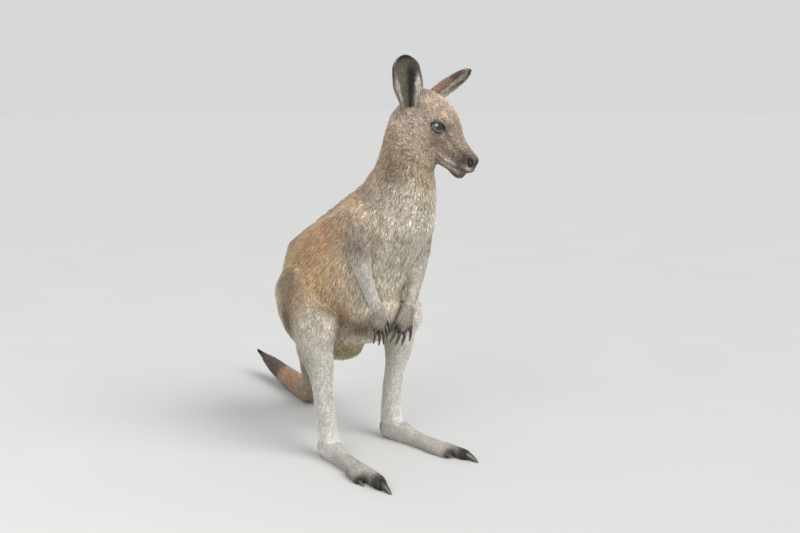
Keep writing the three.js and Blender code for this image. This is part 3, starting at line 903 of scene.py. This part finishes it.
def markings():
    """The coat's colour at every vertex of the skin, with painted shade in the creases and some patches, and
    some painted light on the heels.
    """
    under = ramp(-normals[:, 2], -0.35, 0.6)
    front = ramp(-normals[:, 1], 0.1, 0.8)
    trunk = is_part["chest"] | is_part["belly"] | is_part["neck"]
    under = np.where(trunk, np.maximum(under, front), under)
    upper = np.array([linear(UPPER_UNDER[part][0]) for part in PARTS])[part_index]
    lower = np.array([linear(UPPER_UNDER[part][1]) for part in PARTS])[part_index]
    colours = net.eased(blended(upper, lower, under), COLOURS_MELT)
    head = ramp(places[:, 0], -20, 10) * (is_part["head"] | is_part["neck"])
    body = ~(is_part["head"] | is_part["ear"])
    for patch in BODY_PATCHES:
        colours = blended(colours, linear(patch.colour), patch_amount(patch, spots_at) * body)
    for patch in HEAD_PATCHES:
        colours = blended(colours, linear(patch.colour), patch_amount(patch, places) * head)
    # painted shade in the creases beside the limbs
    colours = blended(colours, CREASE_SHADE_COLOUR, CREASE_SHADE_STRENGTH * crease_shade())
    return blended(colours, DARK_ENDS_COLOUR, DARK_ENDS_STRENGTH * dark_ends())


def crease_shade():
    """1 where the trunk's coat meets a limb that lies against it, 0 away from them: the reach of the painted
    crease shade.
    """
    trunk = is_part["chest"] | is_part["belly"] | is_part["rump"]
    fwd, _, up = spots_at.T
    within = (1 - ramp(up, *CREASE_TOP)) * ramp(fwd, *CREASE_BACK)
    limbs = [i for i, name in enumerate(nearest.names) if name.startswith(("thigh", "forearm", "upper_arm"))]
    faces = [nearest.faces[i] for i, owner in enumerate(nearest.owner) if owner in limbs]
    tree = BVHTree.FromPolygons(nearest.corners, faces)
    wanted = np.flatnonzero(trunk & (within > 0))
    away = np.full(len(points), 1e3)
    away[wanted] = [tree.find_nearest(point)[3] / MM for point in points[wanted]]
    return hill(away, CREASE_REACH) * within


def dark_ends():
    """1 on the ends of the toes and fingers, running out over their length."""
    amount = np.zeros(len(points))
    for node in sorted(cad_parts):
        for start, (full, none) in DARK_TOWARDS.items():
            if node.startswith(start):
                away = np.linalg.norm(points - centre(node), axis=1) / MM
                amount = np.maximum(amount, 1 - ramp(away, full, none))
    return amount * ~is_part["belly"] * ~is_part["thigh"]


def patch_amount(patch, where):
    """How strongly a patch shows at each place, with its twin on the other side."""
    mounds = [swell(where, at, patch.radii) for at in twins(patch.at)]
    return patch.strength * np.clip(PATCH_PEAK * np.maximum.reduce(mounds), 0, 1)


BARE_NOSE = ((185, 0, 4), (9, 19, 13))
RIM = {"from": 1.8, "to": 3.8, "more_below": 2.2}  # millimetres outside the eye's opening
LID_HIGHLIGHT = {"strength": 0.8, "from": 0.8, "to": 1.8}
LINES = {"tear": (0.85, 4.2), "lips": (0.85, 3.2), "cleft": (1.0, 1.6)}  # strength, and millimetres wide
NOSTRIL_SHADE_REACH = (0.95, 1.35)  # as nostril_distance gives it
BALD_REACH = (1.2, 1.9)


def face_lines(colours):
    """Lid rims, a painted highlight on the lower lids' wet edge, tear lines, nostrils in painted shade and
    lips, with how bare the skin is and where it stays dull.
    """
    bare, dull = np.zeros((2, len(points)))
    head = is_part["head"]

    def line(kind, route):
        strength, half = LINES[kind]
        return strength * hill(from_route(places, route), half) * head

    for sign in SIDES.values():
        outside, reach, turn = lid_distance(points, sign)
        below = ramp((eye_place(sign) - points) @ eye_axes(sign)[1] / MM, 2, 5)
        rim = 1 - ramp(outside - RIM["more_below"] * below, RIM["from"], RIM["to"])
        rim = rim * ((turn < HALF_BALL) & (reach < EYE["radius"] + 6) & head)
        # painted highlight along the wet margin of the lower lid
        lid_highlight = LID_HIGHLIGHT["strength"] * below * (1 - ramp(outside, LID_HIGHLIGHT["from"], LID_HIGHLIGHT["to"])) * rim
        # painted shade deep inside the nostril
        pit = (1 - ramp(nostril_distance(places, sign), *NOSTRIL_SHADE_REACH)) * head
        bald = (1 - ramp(nostril_distance(places, sign), *BALD_REACH)) * head
        colours = blended(colours, RIM_COLOUR, rim)
        colours = blended(colours, LID_HIGHLIGHT_COLOUR, lid_highlight)
        colours = blended(colours, TEAR_COLOUR, line("tear", mirrored(TEAR_LINE, sign)))
        colours = blended(colours, LIP_COLOUR, line("lips", mirrored(MOUTH, sign)))
        colours = blended(colours, NOSTRIL_SHADE_COLOUR, pit)
        bare = np.maximum.reduce([bare, rim, bald])
        dull = np.maximum(dull, pit)
    colours = blended(colours, LIP_COLOUR, line("cleft", CLEFT))
    nose = swell(places, *BARE_NOSE) * head
    pads = soles(points, normals) * (is_part["foot"] | is_part["toe"])
    colours = blended(colours, PAD_COLOUR, pads)
    return colours, np.clip(np.maximum.reduce([bare, nose, pads]), 0, 1), dull


# Painted shade: the right ear's inside is dark grey with a full black fold, the left's pale with a faint one.
EAR_LOOK = {
    "left": {"inner": "#d2ccba", "fold": 0.2, "back": "#9d7b61"},
    "right": {"inner": "#625a4e", "fold": 1.0, "back": "#877361"},
}
EAR_FOLD_SHADE = linear("#0a0604")
EAR_PALE = linear("#e6dfd1")
EAR_RIM = linear("#2c221c")


def ear_colours(colours):
    """Grey and speckled inside with a fold in painted black shade, pale along the lower inner edge, dark at
    rim and tip; the right ear's inside is painted darker as shade.
    """
    for side, sign in SIDES.items():
        share, across, _ = ear_places(points, side)
        inner = np.maximum(inside_ear(points, normals, side), in_cup[side])
        place = across / half_wide(share)
        edge = np.abs(place)
        middle = -sign * (0.05 + 0.55 * np.clip(share, 0, 0.65))
        spread = 0.2 + 0.22 * np.clip(share, 0, 0.7)
        fold = np.exp(-((place - middle) / spread) ** 4) * (1 - ramp(share, 0.66, 0.9))
        fore_edge = ramp(-place * sign, 0.3, 0.6)
        low_edge = ramp(edge, 0.45, 0.8) * (1 - ramp(share, 0.4, 0.7)) * (0.45 + 0.55 * fore_edge)
        rim = ramp(edge, 0.88, 0.98) * ramp(share, 0.3, 0.6) * 0.85 + ramp(share, 0.88, 0.98) * 0.7
        look = EAR_LOOK[side]
        ear = blended(linear(look["inner"]), EAR_PALE, low_edge)
        # painted black shade in the fold
        ear = blended(ear, EAR_FOLD_SHADE, fold * look["fold"])
        ear = blended(linear(look["back"]), ear, inner)
        ear = blended(ear, EAR_RIM, np.clip(rim, 0, 1))
        whole = np.maximum(ramp(share, 0.02, 0.16) * grows_on(f"ear_{side}"), in_cup[side])
        colours = blended(colours, ear, whole)
    return colours


colours = ear_colours(markings())
colours, bare, dull = face_lines(colours)


def paint(mesh, name, values):
    """Keeps linear colours on the mesh's vertices."""
    layer = mesh.color_attributes.new(name, "FLOAT_COLOR", "POINT")
    full = np.ones((len(mesh.vertices), 4), np.float32)
    full[:, :3] = values
    layer.data.foreach_set("color", full.ravel())


def note(mesh, name, values):
    """Keeps a number on each of the mesh's vertices."""
    layer = mesh.attributes.new(name, "FLOAT", "POINT")
    layer.data.foreach_set("value", np.asarray(values, np.float32))


UNDERCOAT = 0.62  # the skin between the locks is this much darker than the coat
shade = UNDERCOAT + (1 - UNDERCOAT) * bare
paint(skin.data, "markings", colours * shade[:, None])
note(skin.data, "bare", bare * (1 - dull))

# ---- The coat ------------------------------------------------------------------------------------

PATCH_SIZE = 0.003  # how large a lock is on the OFBake map
SQUARE_CM = 1e4  # how many are in a square metre
LOCK_FACES = np.array([(0, 1, 3), (0, 3, 2), (0, 2, 1), (4, 3, 1), (4, 2, 3), (4, 1, 2)])
LOCK_MAP = np.array([(0, -0.5), (-0.35, 0), (0.35, 0), (0, 0.05), (0, 0.5)]) * PATCH_SIZE
BARE_SPAN = (0.25, 0.7)  # how bare the skin is where the locks grow thin, and where none grow
SILVER = linear("#efe6d8")
BROWN_TIP = linear("#3a2f27")
RING_SHARE = 0.45  # of the tip's darkness, how much reaches the middle of a lock
ROOT_SHADE = 0.7  # brightness of a lock's root against its middle
SPECKLE = 2.6 * MM  # how large the patches of lighter and darker hair are
SWIRLS = [(0.07, 50, 21), (0.08, 14, 22), (0.1, 5, 23)]  # strength, size in millimetres, seed
TURNS = [(0.13, 40, 31), (0.1, 11, 32)]  # the same, in radians, for how locks wander from the lie
LIFTS = [(0.14, 20, 33)]  # the same for how far locks stand up
LOCK = {"sunk": 0.6 * MM, "behind": 0.08, "ring": 0.42, "ring_up": 0.66, "tip": 0.95, "crest": 0.38}
CLUMP = {"widths": 4.2, "share": 0.16}  # how wide the tufts are that locks draw into, and how strongly
GROUND_GAP = 0.4 * MM  # how far the locks stay above the ground


class Ground:
    """The skin's triangles, from which the locks grow."""

    def __init__(self):
        mesh = skin.data
        mesh.calc_loop_triangles()
        count = len(mesh.loop_triangles)
        corners = np.empty(count * 3, np.int32)
        loops = np.empty(count * 3, np.int32)
        mesh.loop_triangles.foreach_get("vertices", corners)
        mesh.loop_triangles.foreach_get("loops", loops)
        self.corners = corners.reshape(-1, 3)
        flat = np.empty(len(mesh.loops) * 2, np.float32)
        mesh.uv_layers["OFBake"].data.foreach_get("uv", flat)
        self.uv = flat.reshape(-1, 2)[loops].reshape(-1, 3, 2)
        a, b, c = (points[self.corners[:, k]] for k in range(3))
        self.area = np.linalg.norm(np.cross(b - a, c - a), axis=1) / 2
        self.part = part_index[self.corners[:, 0]]
        self.left = a[:, 0] - HEELS[0]


ground = Ground()
locks_wanted = coat[:, 3] * (1 - ramp(bare, *BARE_SPAN))
full_skin = skin.data
bpy.data.objects.remove(skin)
skin = shown("skin", fewer_faces(full_skin, ~near_details(points), SKIN_KEPT))


def roots(parts, half):
    """Where the locks of some parts grow: the triangle of each, and the weights of its corners."""
    mine = np.isin(ground.part, [PARTS.index(part) for part in parts])
    if half:
        mine &= ground.left * SIDES[half] > 0
    wanted = ground.area * SQUARE_CM * locks_wanted[ground.corners].mean(1) * mine
    running = np.cumsum(wanted) + random.uniform()
    counts = np.floor(running).astype(int) - np.concatenate([[0], np.floor(running[:-1]).astype(int)])
    triangle = np.repeat(np.arange(len(counts)), counts)
    u, v = random.uniform(size=(2, len(triangle)))
    over = u + v > 1
    u, v = np.where(over, 1 - u, u), np.where(over, 1 - v, v)
    return triangle, np.stack([1 - u - v, u, v], 1)


def at_roots(values, triangle, weights):
    return (values[ground.corners[triangle]] * weights[..., None]).sum(1)


def mottled_at(at, layers):
    return sum(strength * waves(at, size * MM, seed) for strength, size, seed in layers)


def clumped(roots_at, tips, size, share):
    """Draws the tips of neighbouring locks together."""
    group = cells(roots_at, size)
    size_of = np.bincount(group)
    for column in range(3):
        mean = np.bincount(group, (tips - roots_at)[:, column]) / size_of
        middle = np.bincount(group, roots_at[:, column]) / size_of
        goal = (middle + mean)[group]
        tips[:, column] += share * (goal - tips[:, column])
    return tips


def cells(at, size):
    """The same number for locks that share an uneven cell of about this size."""
    wander = np.stack([waves(at, size * 3, seed) for seed in (11, 12, 13)], 1)
    cell = np.floor((at + wander * size * 0.6) / size).astype(int)
    return np.unique(cell, axis=0, return_inverse=True)[1].ravel()


def lock_colours(base, at, grizzle):
    """Root, ring and tip colours of every lock: grizzled, with silver and dark tips."""
    count = len(base)
    swirls = mottled_at(at, SWIRLS)
    spot = cells(at, SPECKLE)
    speckle = random.normal(0, 0.18, spot.max() + 1)[spot]
    grain = (1 + swirls * grizzle) * np.exp((random.normal(0, 0.22, count) + speckle) * grizzle)
    body = base * grain[:, None]
    kind = random.uniform(size=count)
    pale_enough = 0.05 + 0.95 * ramp(base.mean(1), 0.03, 0.22)
    silver = np.minimum((kind < 0.38) * random.uniform(0.2, 0.8, count) * grizzle, 1) * pale_enough
    dark = np.minimum((kind > 0.74) * random.uniform(0.3, 0.85, count) * grizzle, 1)
    tip = blended(body, SILVER, silver)
    tip = blended(tip, np.minimum(BROWN_TIP, tip), dark)
    ring = blended(body, np.minimum(BROWN_TIP, body), RING_SHARE * dark)
    return ring * ROOT_SHADE, ring, tip


def coat_piece(name, parts, half, fur):
    """A closed mesh of the locks that grow on some parts, or on one half of them."""
    triangle, weights = roots(parts, half)
    at = at_roots(points, triangle, weights)
    out = unit(at_roots(normals, triangle, weights))
    along = at_roots(lie, triangle, weights)
    along = unit(along - out * (along * out).sum(1, keepdims=True))
    base = at_roots(colours, triangle, weights)
    depth, length, width = at_roots(coat[:, :3], triangle, weights).T * MM
    grizzle = at_roots(coat[:, 4:], triangle, weights)[:, 0]
    count = len(at)
    turn = 0.16 * random.normal(size=count) + mottled_at(at, TURNS)
    beside = np.cross(out, along)
    run = along * np.cos(turn)[:, None] + beside * np.sin(turn)[:, None]
    beside = np.cross(out, run)
    length = length * np.clip(1 + 0.22 * random.normal(size=count), 0.5, 1.5)
    width = width * random.uniform(0.75, 1.25, count)
    lift = depth * np.clip(0.82 + 0.16 * random.normal(size=count) + mottled_at(at, LIFTS), 0.35, 1.15)
    root = at - out * LOCK["sunk"] - run * (LOCK["behind"] * length)[:, None]
    ring = at + run * (LOCK["ring"] * length)[:, None] + out * (LOCK["ring_up"] * lift)[:, None]
    tip = at + run * (LOCK["tip"] * length)[:, None] + out * lift[:, None]
    tip = clumped(at, tip, CLUMP["widths"] * width.mean(), CLUMP["share"])
    half_width = beside * (width / 2)[:, None]
    crest = out * (LOCK["crest"] * width)[:, None]
    corners = np.stack([root, ring - half_width, ring + half_width, ring + crest, tip], 1)
    corners[:, :, 2] = np.maximum(corners[:, :, 2], GROUND_GAP)
    shading = np.stack([
        out,
        unit(out - 0.8 * beside),
        unit(out + 0.8 * beside),
        unit(out - 0.1 * run),
        unit(out + 0.35 * run),
    ], 1)
    low, mid, high = lock_colours(base, at, grizzle)
    tones = np.stack([low, mid, mid, mid, high], 1)
    uv = (ground.uv[triangle] * weights[..., None]).sum(1)
    mesh = lock_mesh(name, corners, shading, tones, uv[:, None, :] + LOCK_MAP[None])
    mesh.materials.append(fur)
    piece = shown(name, mesh)
    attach(piece, "root")


def lock_mesh(name, corners, shading, tones, uv):
    count = len(corners)
    mesh = bpy.data.meshes.new(name)
    faces = (np.arange(count)[:, None, None] * 5 + LOCK_FACES[None]).reshape(-1, 3)
    mesh.vertices.add(count * 5)
    mesh.vertices.foreach_set("co", corners.astype(np.float32).ravel())
    mesh.loops.add(faces.size)
    mesh.loops.foreach_set("vertex_index", faces.astype(np.int32).ravel())
    mesh.polygons.add(len(faces))
    mesh.polygons.foreach_set("loop_start", np.arange(0, faces.size, 3, dtype=np.int32))
    layer = mesh.uv_layers.new(name="OFBake")
    spread = uv[:, LOCK_FACES.ravel()].reshape(-1, 2)
    layer.data.foreach_set("uv", spread.astype(np.float32).ravel())
    paint(mesh, "markings", tones.reshape(-1, 3))
    mesh.update(calc_edges=True)
    mesh.shade_smooth()
    mesh.normals_split_custom_set_from_vertices(shading.reshape(-1, 3).astype(np.float32))
    return mesh


# ---- Materials -----------------------------------------------------------------------------------

def material(name):
    """A new material with its nodes, its output's shader, and nothing else."""
    made = bpy.data.materials.new(name)
    made.use_nodes = True
    return made, made.node_tree.nodes["Principled BSDF"]


def add(made, kind, settings=None, **links):
    """Adds a node, sets its settings and plain inputs, and links what is given as a socket."""
    tree = made.node_tree
    node = tree.nodes.new(kind)
    for key, value in (settings or {}).items():
        setattr(node, key, value)
    for key, value in links.items():
        socket = node.inputs[int(key[1:])] if key[0] == "_" else node.inputs[key.replace("_", " ")]
        if isinstance(value, bpy.types.NodeSocket):
            tree.links.new(value, socket)
        else:
            socket.default_value = value
    return node


def finish(shader, **values):
    for key, value in values.items():
        shader.inputs[key.replace("_", " ")].default_value = value


def grain(made, spacing, detail):
    """Noise over space whose grains lie about spacing millimetres apart."""
    place = add(made, "ShaderNodeTexCoord")
    spots = place.outputs["Object"]
    noise = add(made, "ShaderNodeTexNoise", Vector=spots, Scale=1 / (spacing * MM), Detail=detail)
    return noise.outputs["Fac"]


def tinted(made, shader, layer, noise, dark, light):
    """Gives the shader the colours kept on the mesh, lightened and darkened by noise."""
    tone = add(made, "ShaderNodeVertexColor", {"layer_name": layer})
    spread = add(made, "ShaderNodeMapRange", _0=noise, _1=0.3, _2=0.7, _3=dark, _4=light).outputs[0]
    grey = add(made, "ShaderNodeCombineColor", _0=spread, _1=spread, _2=spread)
    settings = {"data_type": "RGBA", "blend_type": "MULTIPLY"}
    mix = add(made, "ShaderNodeMix", settings, _0=1.0, _6=tone.outputs["Color"], _7=grey.outputs[0])
    made.node_tree.links.new(mix.outputs[2], shader.inputs["Base Color"])


def two_tones(made, shader, noise, stops):
    """Gives the shader a colour between two, given as (place, code), by noise."""
    tone = add(made, "ShaderNodeValToRGB", Fac=noise)
    for element, (place, code) in zip(tone.color_ramp.elements, stops):
        element.position = place
        element.color = (*linear(code), 1)
    made.node_tree.links.new(tone.outputs[0], shader.inputs["Base Color"])


def relief(made, shader, noise, strength, height):
    bump = add(made, "ShaderNodeBump", Strength=strength, Distance=height * MM, Height=noise)
    made.node_tree.links.new(bump.outputs[0], shader.inputs["Normal"])


HAIR_SPACING = 2.63  # millimetres, far coarser than hairs, so that it shows
FLUFF_SPACING = 1.43
FIBRE_SPACING = 0.91
HORN_SPACING = 2.0
VINYL_SPACING = 333


def fur_material():
    """Guard hair: dry keratin with a low, broad gloss along each hair and a soft velvety edge."""
    made, shader = material("grizzled guard hair")
    tinted(made, shader, "markings", grain(made, HAIR_SPACING, 3.0), 0.74, 1.2)
    finish(shader, Roughness=0.78, IOR=1.55, Specular_IOR_Level=0.25, Sheen_Weight=0.12, Sheen_Roughness=0.6)
    return made


def skin_material():
    """Undercoat and bare skin: matte fluff between the locks, and moist dark leather on nose and lids."""
    made, shader = material("undercoat and bare skin")
    fluff = grain(made, FLUFF_SPACING, 3.0)
    tinted(made, shader, "markings", fluff, 0.75, 1.2)
    moist = add(made, "ShaderNodeAttribute", {"attribute_name": "bare"}).outputs["Fac"]
    gloss = add(made, "ShaderNodeMapRange", _0=moist, _1=0.0, _2=1.0, _3=0.85, _4=0.38)
    made.node_tree.links.new(gloss.outputs[0], shader.inputs["Roughness"])
    relief(made, shader, fluff, 0.5, 0.6)
    finish(shader, Specular_IOR_Level=0.35)
    return made


def eye_material():
    """A wet eye: near-black brown iris and pupil under a clear, mirror-smooth cornea."""
    made, shader = material("wet cornea over dark iris")
    tinted(made, shader, "iris", grain(made, FIBRE_SPACING, 3.0), 0.6, 1.4)
    finish(shader, Roughness=0.3, IOR=1.376, Coat_Weight=1.0, Coat_Roughness=0.03)
    return made


def claw_material():
    """Claw horn: black keratin with fine streaks, worn a little paler here and there."""
    made, shader = material("black claw horn")
    streaks = grain(made, HORN_SPACING, 4.0)
    two_tones(made, shader, streaks, [(0.35, "#1b1614"), (0.7, "#4c433c")])
    relief(made, shader, streaks, 0.25, 0.4)
    finish(shader, Roughness=0.38, IOR=1.54)
    return made


def floor_material():
    """Studio vinyl: pale, even and matte, with the faintest mottling."""
    made, shader = material("pale studio vinyl")
    two_tones(made, shader, grain(made, VINYL_SPACING, 2.0), [(0, "#c2c2c0"), (1, "#c8c8c5")])
    finish(shader, Roughness=0.75)
    return made


# ---- Dressing ------------------------------------------------------------------------------------

skin.data.materials.append(skin_material())
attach(skin, "root")
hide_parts(*FLESH)

guard_hair = fur_material()
COAT_PIECES = {
    "coat_rump": (["rump"], None, "back_fur"),
    "coat_belly_left": (["belly"], "left", "back_fur"),
    "coat_belly_right": (["belly"], "right", "back_fur"),
    "coat_chest": (["chest", "neck"], None, "back_fur"),
    "coat_head": (["head"], None, "back_fur"),
    "coat_ears": (["ear"], None, "back_fur"),
    "coat_thighs": (["thigh"], None, "pale_fur"),
    "coat_shanks": (["shank"], None, "pale_fur"),
    "coat_feet": (["foot", "toe"], None, "pale_fur"),
    "coat_arms": (["upper_arm", "forearm", "hand"], None, "pale_fur"),
    "coat_tail": (["tail_base", "tail_middle", "tail_tip"], None, "dark_fur"),
}
for name, (parts, half, slot) in COAT_PIECES.items():
    coat_piece(name, parts, half, guard_hair)

# ---- Eyes ----------------------------------------------------------------------------------------

PUPIL_HALF = 3.6  # millimetres from the middle of the cornea
PUPIL_EDGE = 0.6
IRIS_HALF = 11.5
CORNEA = 0.03  # share of the radius by which the cornea stands out
PUPIL_COLOUR = linear("#040303")
IRIS_COLOUR = linear("#1c120c")
WHITE_COLOUR = linear("#2b201b")


def eye_piece(side, sign, wet):
    """The eyeball, a touch fuller at the cornea."""
    _, _, out = eye_axes(sign)
    shape = bmesh.new()
    bmesh.ops.create_uvsphere(shape, u_segments=64, v_segments=40, radius=EYE["radius"] * MM)
    heart = eye_place(sign)
    turn = Vector(out).to_track_quat("Z", "Y")
    for vert in shape.verts:
        bulge = 1 + CORNEA * max(0.0, vert.co.z / (EYE["radius"] * MM)) ** 4
        vert.co = turn @ (vert.co * bulge) + Vector(heart)
    mesh = mesh_from(shape, f"eyeball_{side}")
    mesh.shade_smooth()
    away = unit(points_of(mesh) - heart)
    arc = np.arccos(np.clip(away @ out, -1, 1)) * EYE["radius"]
    iris = blended(PUPIL_COLOUR, IRIS_COLOUR, ramp(arc, PUPIL_HALF - PUPIL_EDGE, PUPIL_HALF + PUPIL_EDGE))
    paint(mesh, "iris", blended(iris, WHITE_COLOUR, ramp(arc, IRIS_HALF, IRIS_HALF + 1)))
    mesh.materials.append(wet)
    piece = shown(f"eyeball_{side}", mesh)
    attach(piece, "root")
    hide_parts(f"eye_{side}")


wet = eye_material()
for side, sign in SIDES.items():
    eye_piece(side, sign, wet)

# ---- Claws ---------------------------------------------------------------------------------------

CLAW_PUSH = 0.8 * MM  # what smoothing takes off a claw


def claw_piece(node, horn):
    """A smooth copy of a claw's solid."""
    shape = bmesh.new()
    shape.from_mesh(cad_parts[node].data)
    bmesh.ops.remove_doubles(shape, verts=shape.verts, dist=DOUBLES)
    bmesh.ops.recalc_face_normals(shape, faces=shape.faces)
    shape.normal_update()
    for vert in shape.verts:
        vert.co += vert.normal * CLAW_PUSH
        vert.co.z = max(vert.co.z, 0.0)
    mesh = mesh_from(shape, f"horn_{node}")
    mesh.shade_smooth()
    mesh.materials.append(horn)
    piece = shown(f"horn_{node}", mesh)
    smooth = piece.modifiers.new("smooth", "SUBSURF")
    smooth.levels = 2
    smooth.render_levels = 2
    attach(piece, "root")
    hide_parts(node)


horn = claw_material()
for node in sorted(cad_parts):
    if "claw" in node:
        claw_piece(node, horn)

# ---- Lashes and whiskers -------------------------------------------------------------------------

LASHES = 24
LASH = {"length": 7.5, "width": 0.6, "rim_from": 28, "rim_span": 126}  # the last two in degrees
WHISKER_ROWS = 3
WHISKERS = 9
WHISKER = {"length": 30, "width": 0.34}
WHISKER_BED = {"fwd": 150, "step": 7, "up": 6, "row": 6}
BRISTLE_COLOUR = linear("#1a1512")


def rim_place(sign, angle, outside):
    """A place on the rim of the eye's opening, at an angle round it from its front corner."""
    along, across, out = eye_axes(sign)
    side, rise = abs(math.cos(angle)), abs(math.sin(angle))
    scale = 1 / lid_share(side, rise)
    half = LID["upper"] if math.sin(angle) > 0 else LID["lower"]
    x = (LID["half_length"] + outside) * scale * math.cos(angle)
    y = (half + outside) * scale * math.sin(angle)
    turn = math.hypot(x, y) / EYE["radius"]
    flat = (along * x + across * y) / math.hypot(x, y)
    reach = (EYE["radius"] + 0.5 * LID["lift"]) * MM
    return eye_place(sign) + (out * math.cos(turn) + flat * math.sin(turn)) * reach, flat, out


def map_place(point):
    """The OFBake place of the skin nearest to a point."""
    return ground.uv[skin_tree.find_nearest(point)[2]].mean(0)


def bristles(name, starts, ways, bends, hair):
    """A closed mesh of single stiff hairs."""
    count = len(starts)
    ways, bends = unit(ways), unit(bends)
    starts = np.array(starts)
    width = hair["width"] * MM
    long = (hair["length"] * MM * random.uniform(0.7, 1.15, count))[:, None]
    beside = unit(np.cross(ways, bends)) * width / 2
    ring = starts + ways * 0.5 * long - bends * 0.06 * long
    tip = starts + ways * long + bends * 0.12 * long
    corners = np.stack([starts - ways * MM, ring - beside, ring + beside, ring + bends * width * 0.7, tip], 1)
    shading = np.stack([bends, unit(bends - beside), unit(bends + beside), bends, ways], 1)
    tones = np.broadcast_to(BRISTLE_COLOUR, (count, 5, 3)).copy()
    uv = np.array([map_place(start) for start in starts])[:, None, :] + LOCK_MAP[None]
    piece = shown(name, lock_mesh(name, corners, shading, tones, uv))
    piece.data.materials.append(guard_hair)
    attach(piece, "root")


skin_tree = BVHTree.FromPolygons(points.tolist(), ground.corners.tolist())


def lashes():
    """Short stiff hairs along the upper lids' rims."""
    starts, ways, bends = [], [], []
    for sign in SIDES.values():
        for k in range(LASHES):
            share = (k + random.uniform(0.1, 0.9)) / LASHES
            angle = math.radians(LASH["rim_from"] + LASH["rim_span"] * share)
            place, flat, out = rim_place(sign, angle, 0.2)
            starts.append(place)
            ways.append(out + 0.15 * flat + 0.5 * DOWN + 0.1 * random.normal(size=3))
            bends.append(flat + 0.4 * out)
    bristles("lashes", starts, ways, bends, LASH)


def whiskers():
    """Fine hairs swept back from the sides of the muzzle."""
    starts, ways, bends = [], [], []
    for sign in SIDES.values():
        for k in range(WHISKERS):
            step, row = divmod(k, WHISKER_ROWS)
            fwd = WHISKER_BED["fwd"] + WHISKER_BED["step"] * step
            aim = on_head(fwd, 40 * sign, WHISKER_BED["up"] - WHISKER_BED["row"] * row)
            starts.append(np.array(skin_tree.ray_cast(Vector(aim), Vector(-FACE_LEFT * sign))[0]))
            ways.append(FACE_LEFT * sign - 0.5 * FACE_FORWARD - 0.25 * FACE_UP + 0.15 * random.normal(size=3))
            bends.append(DOWN)
    bristles("whiskers", starts, ways, bends, WHISKER)


lashes()
whiskers()

# ---- Studio --------------------------------------------------------------------------------------

FLOOR_SIZE = 60
CAMERA_PLACE = Vector((-1.42188, -1.82922, 0.79))
CAMERA_HEADING = Vector((0.682, 0.731, 0)).normalized()
CAMERA_PITCH = math.radians(10)
CAMERA_LENS = 45
SENSOR_WIDTH = 36
KEY = {"source": (0.14, -0.84, 0.76), "spread": math.radians(40), "strength": 2.6}
FILL = {"place": (-2.2, -1.0, 1.9), "target": (0, 0, 0.4), "size": 2.0, "power": 22}
CATCH = {"place": (-1.75, -0.75, 1.5), "target": EYES_MIDDLE, "size": 2.3, "power": 80}
SKY_COLOUR = linear("#eceef0")
SKY_STRENGTH = 0.8


def floor():
    shape = bmesh.new()
    bmesh.ops.create_grid(shape, x_segments=4, y_segments=4, size=FLOOR_SIZE / 2)
    piece = shown("studio_floor", mesh_from(shape, "studio_floor"))
    piece.data.materials.append(floor_material())


def aimed(name, data, place, look):
    """A light or camera at a place, looking along look."""
    thing = shown(name, data)
    thing.location = place
    thing.rotation_mode = "QUATERNION"
    thing.rotation_quaternion = look.to_track_quat("-Z", "Y")
    return thing


def softbox(name, place, target, size, power):
    light = bpy.data.lights.new(name, "AREA")
    light.shape = "DISK"
    light.size = size
    light.energy = power
    return aimed(name, light, place, Vector(target) - Vector(place))


def great_softbox(name, source, spread, strength):
    """A wide, far, even light."""
    light = bpy.data.lights.new(name, "SUN")
    light.angle = spread
    light.energy = strength
    aimed(name, light, (0, 0, 0), -Vector(source))


def camera():
    lens = bpy.data.cameras.new("camera")
    lens.lens = CAMERA_LENS
    lens.sensor_width = SENSOR_WIDTH
    look = CAMERA_HEADING * math.cos(CAMERA_PITCH) - Vector((0, 0, math.sin(CAMERA_PITCH)))
    bpy.context.scene.camera = aimed("camera", lens, CAMERA_PLACE, look)


def surroundings():
    world = bpy.data.worlds.new("studio")
    world.use_nodes = True
    sky = world.node_tree.nodes["Background"]
    sky.inputs["Color"].default_value = (*SKY_COLOUR, 1)
    sky.inputs["Strength"].default_value = SKY_STRENGTH
    bpy.context.scene.world = world


floor()
camera()
surroundings()
great_softbox("key", **KEY)
softbox("fill", **FILL)
catch_light = softbox("catch light", **CATCH)
catch_light.visible_diffuse = False  # it shows in the eyes only
bpy.context.scene.view_settings.view_transform = "Standard"
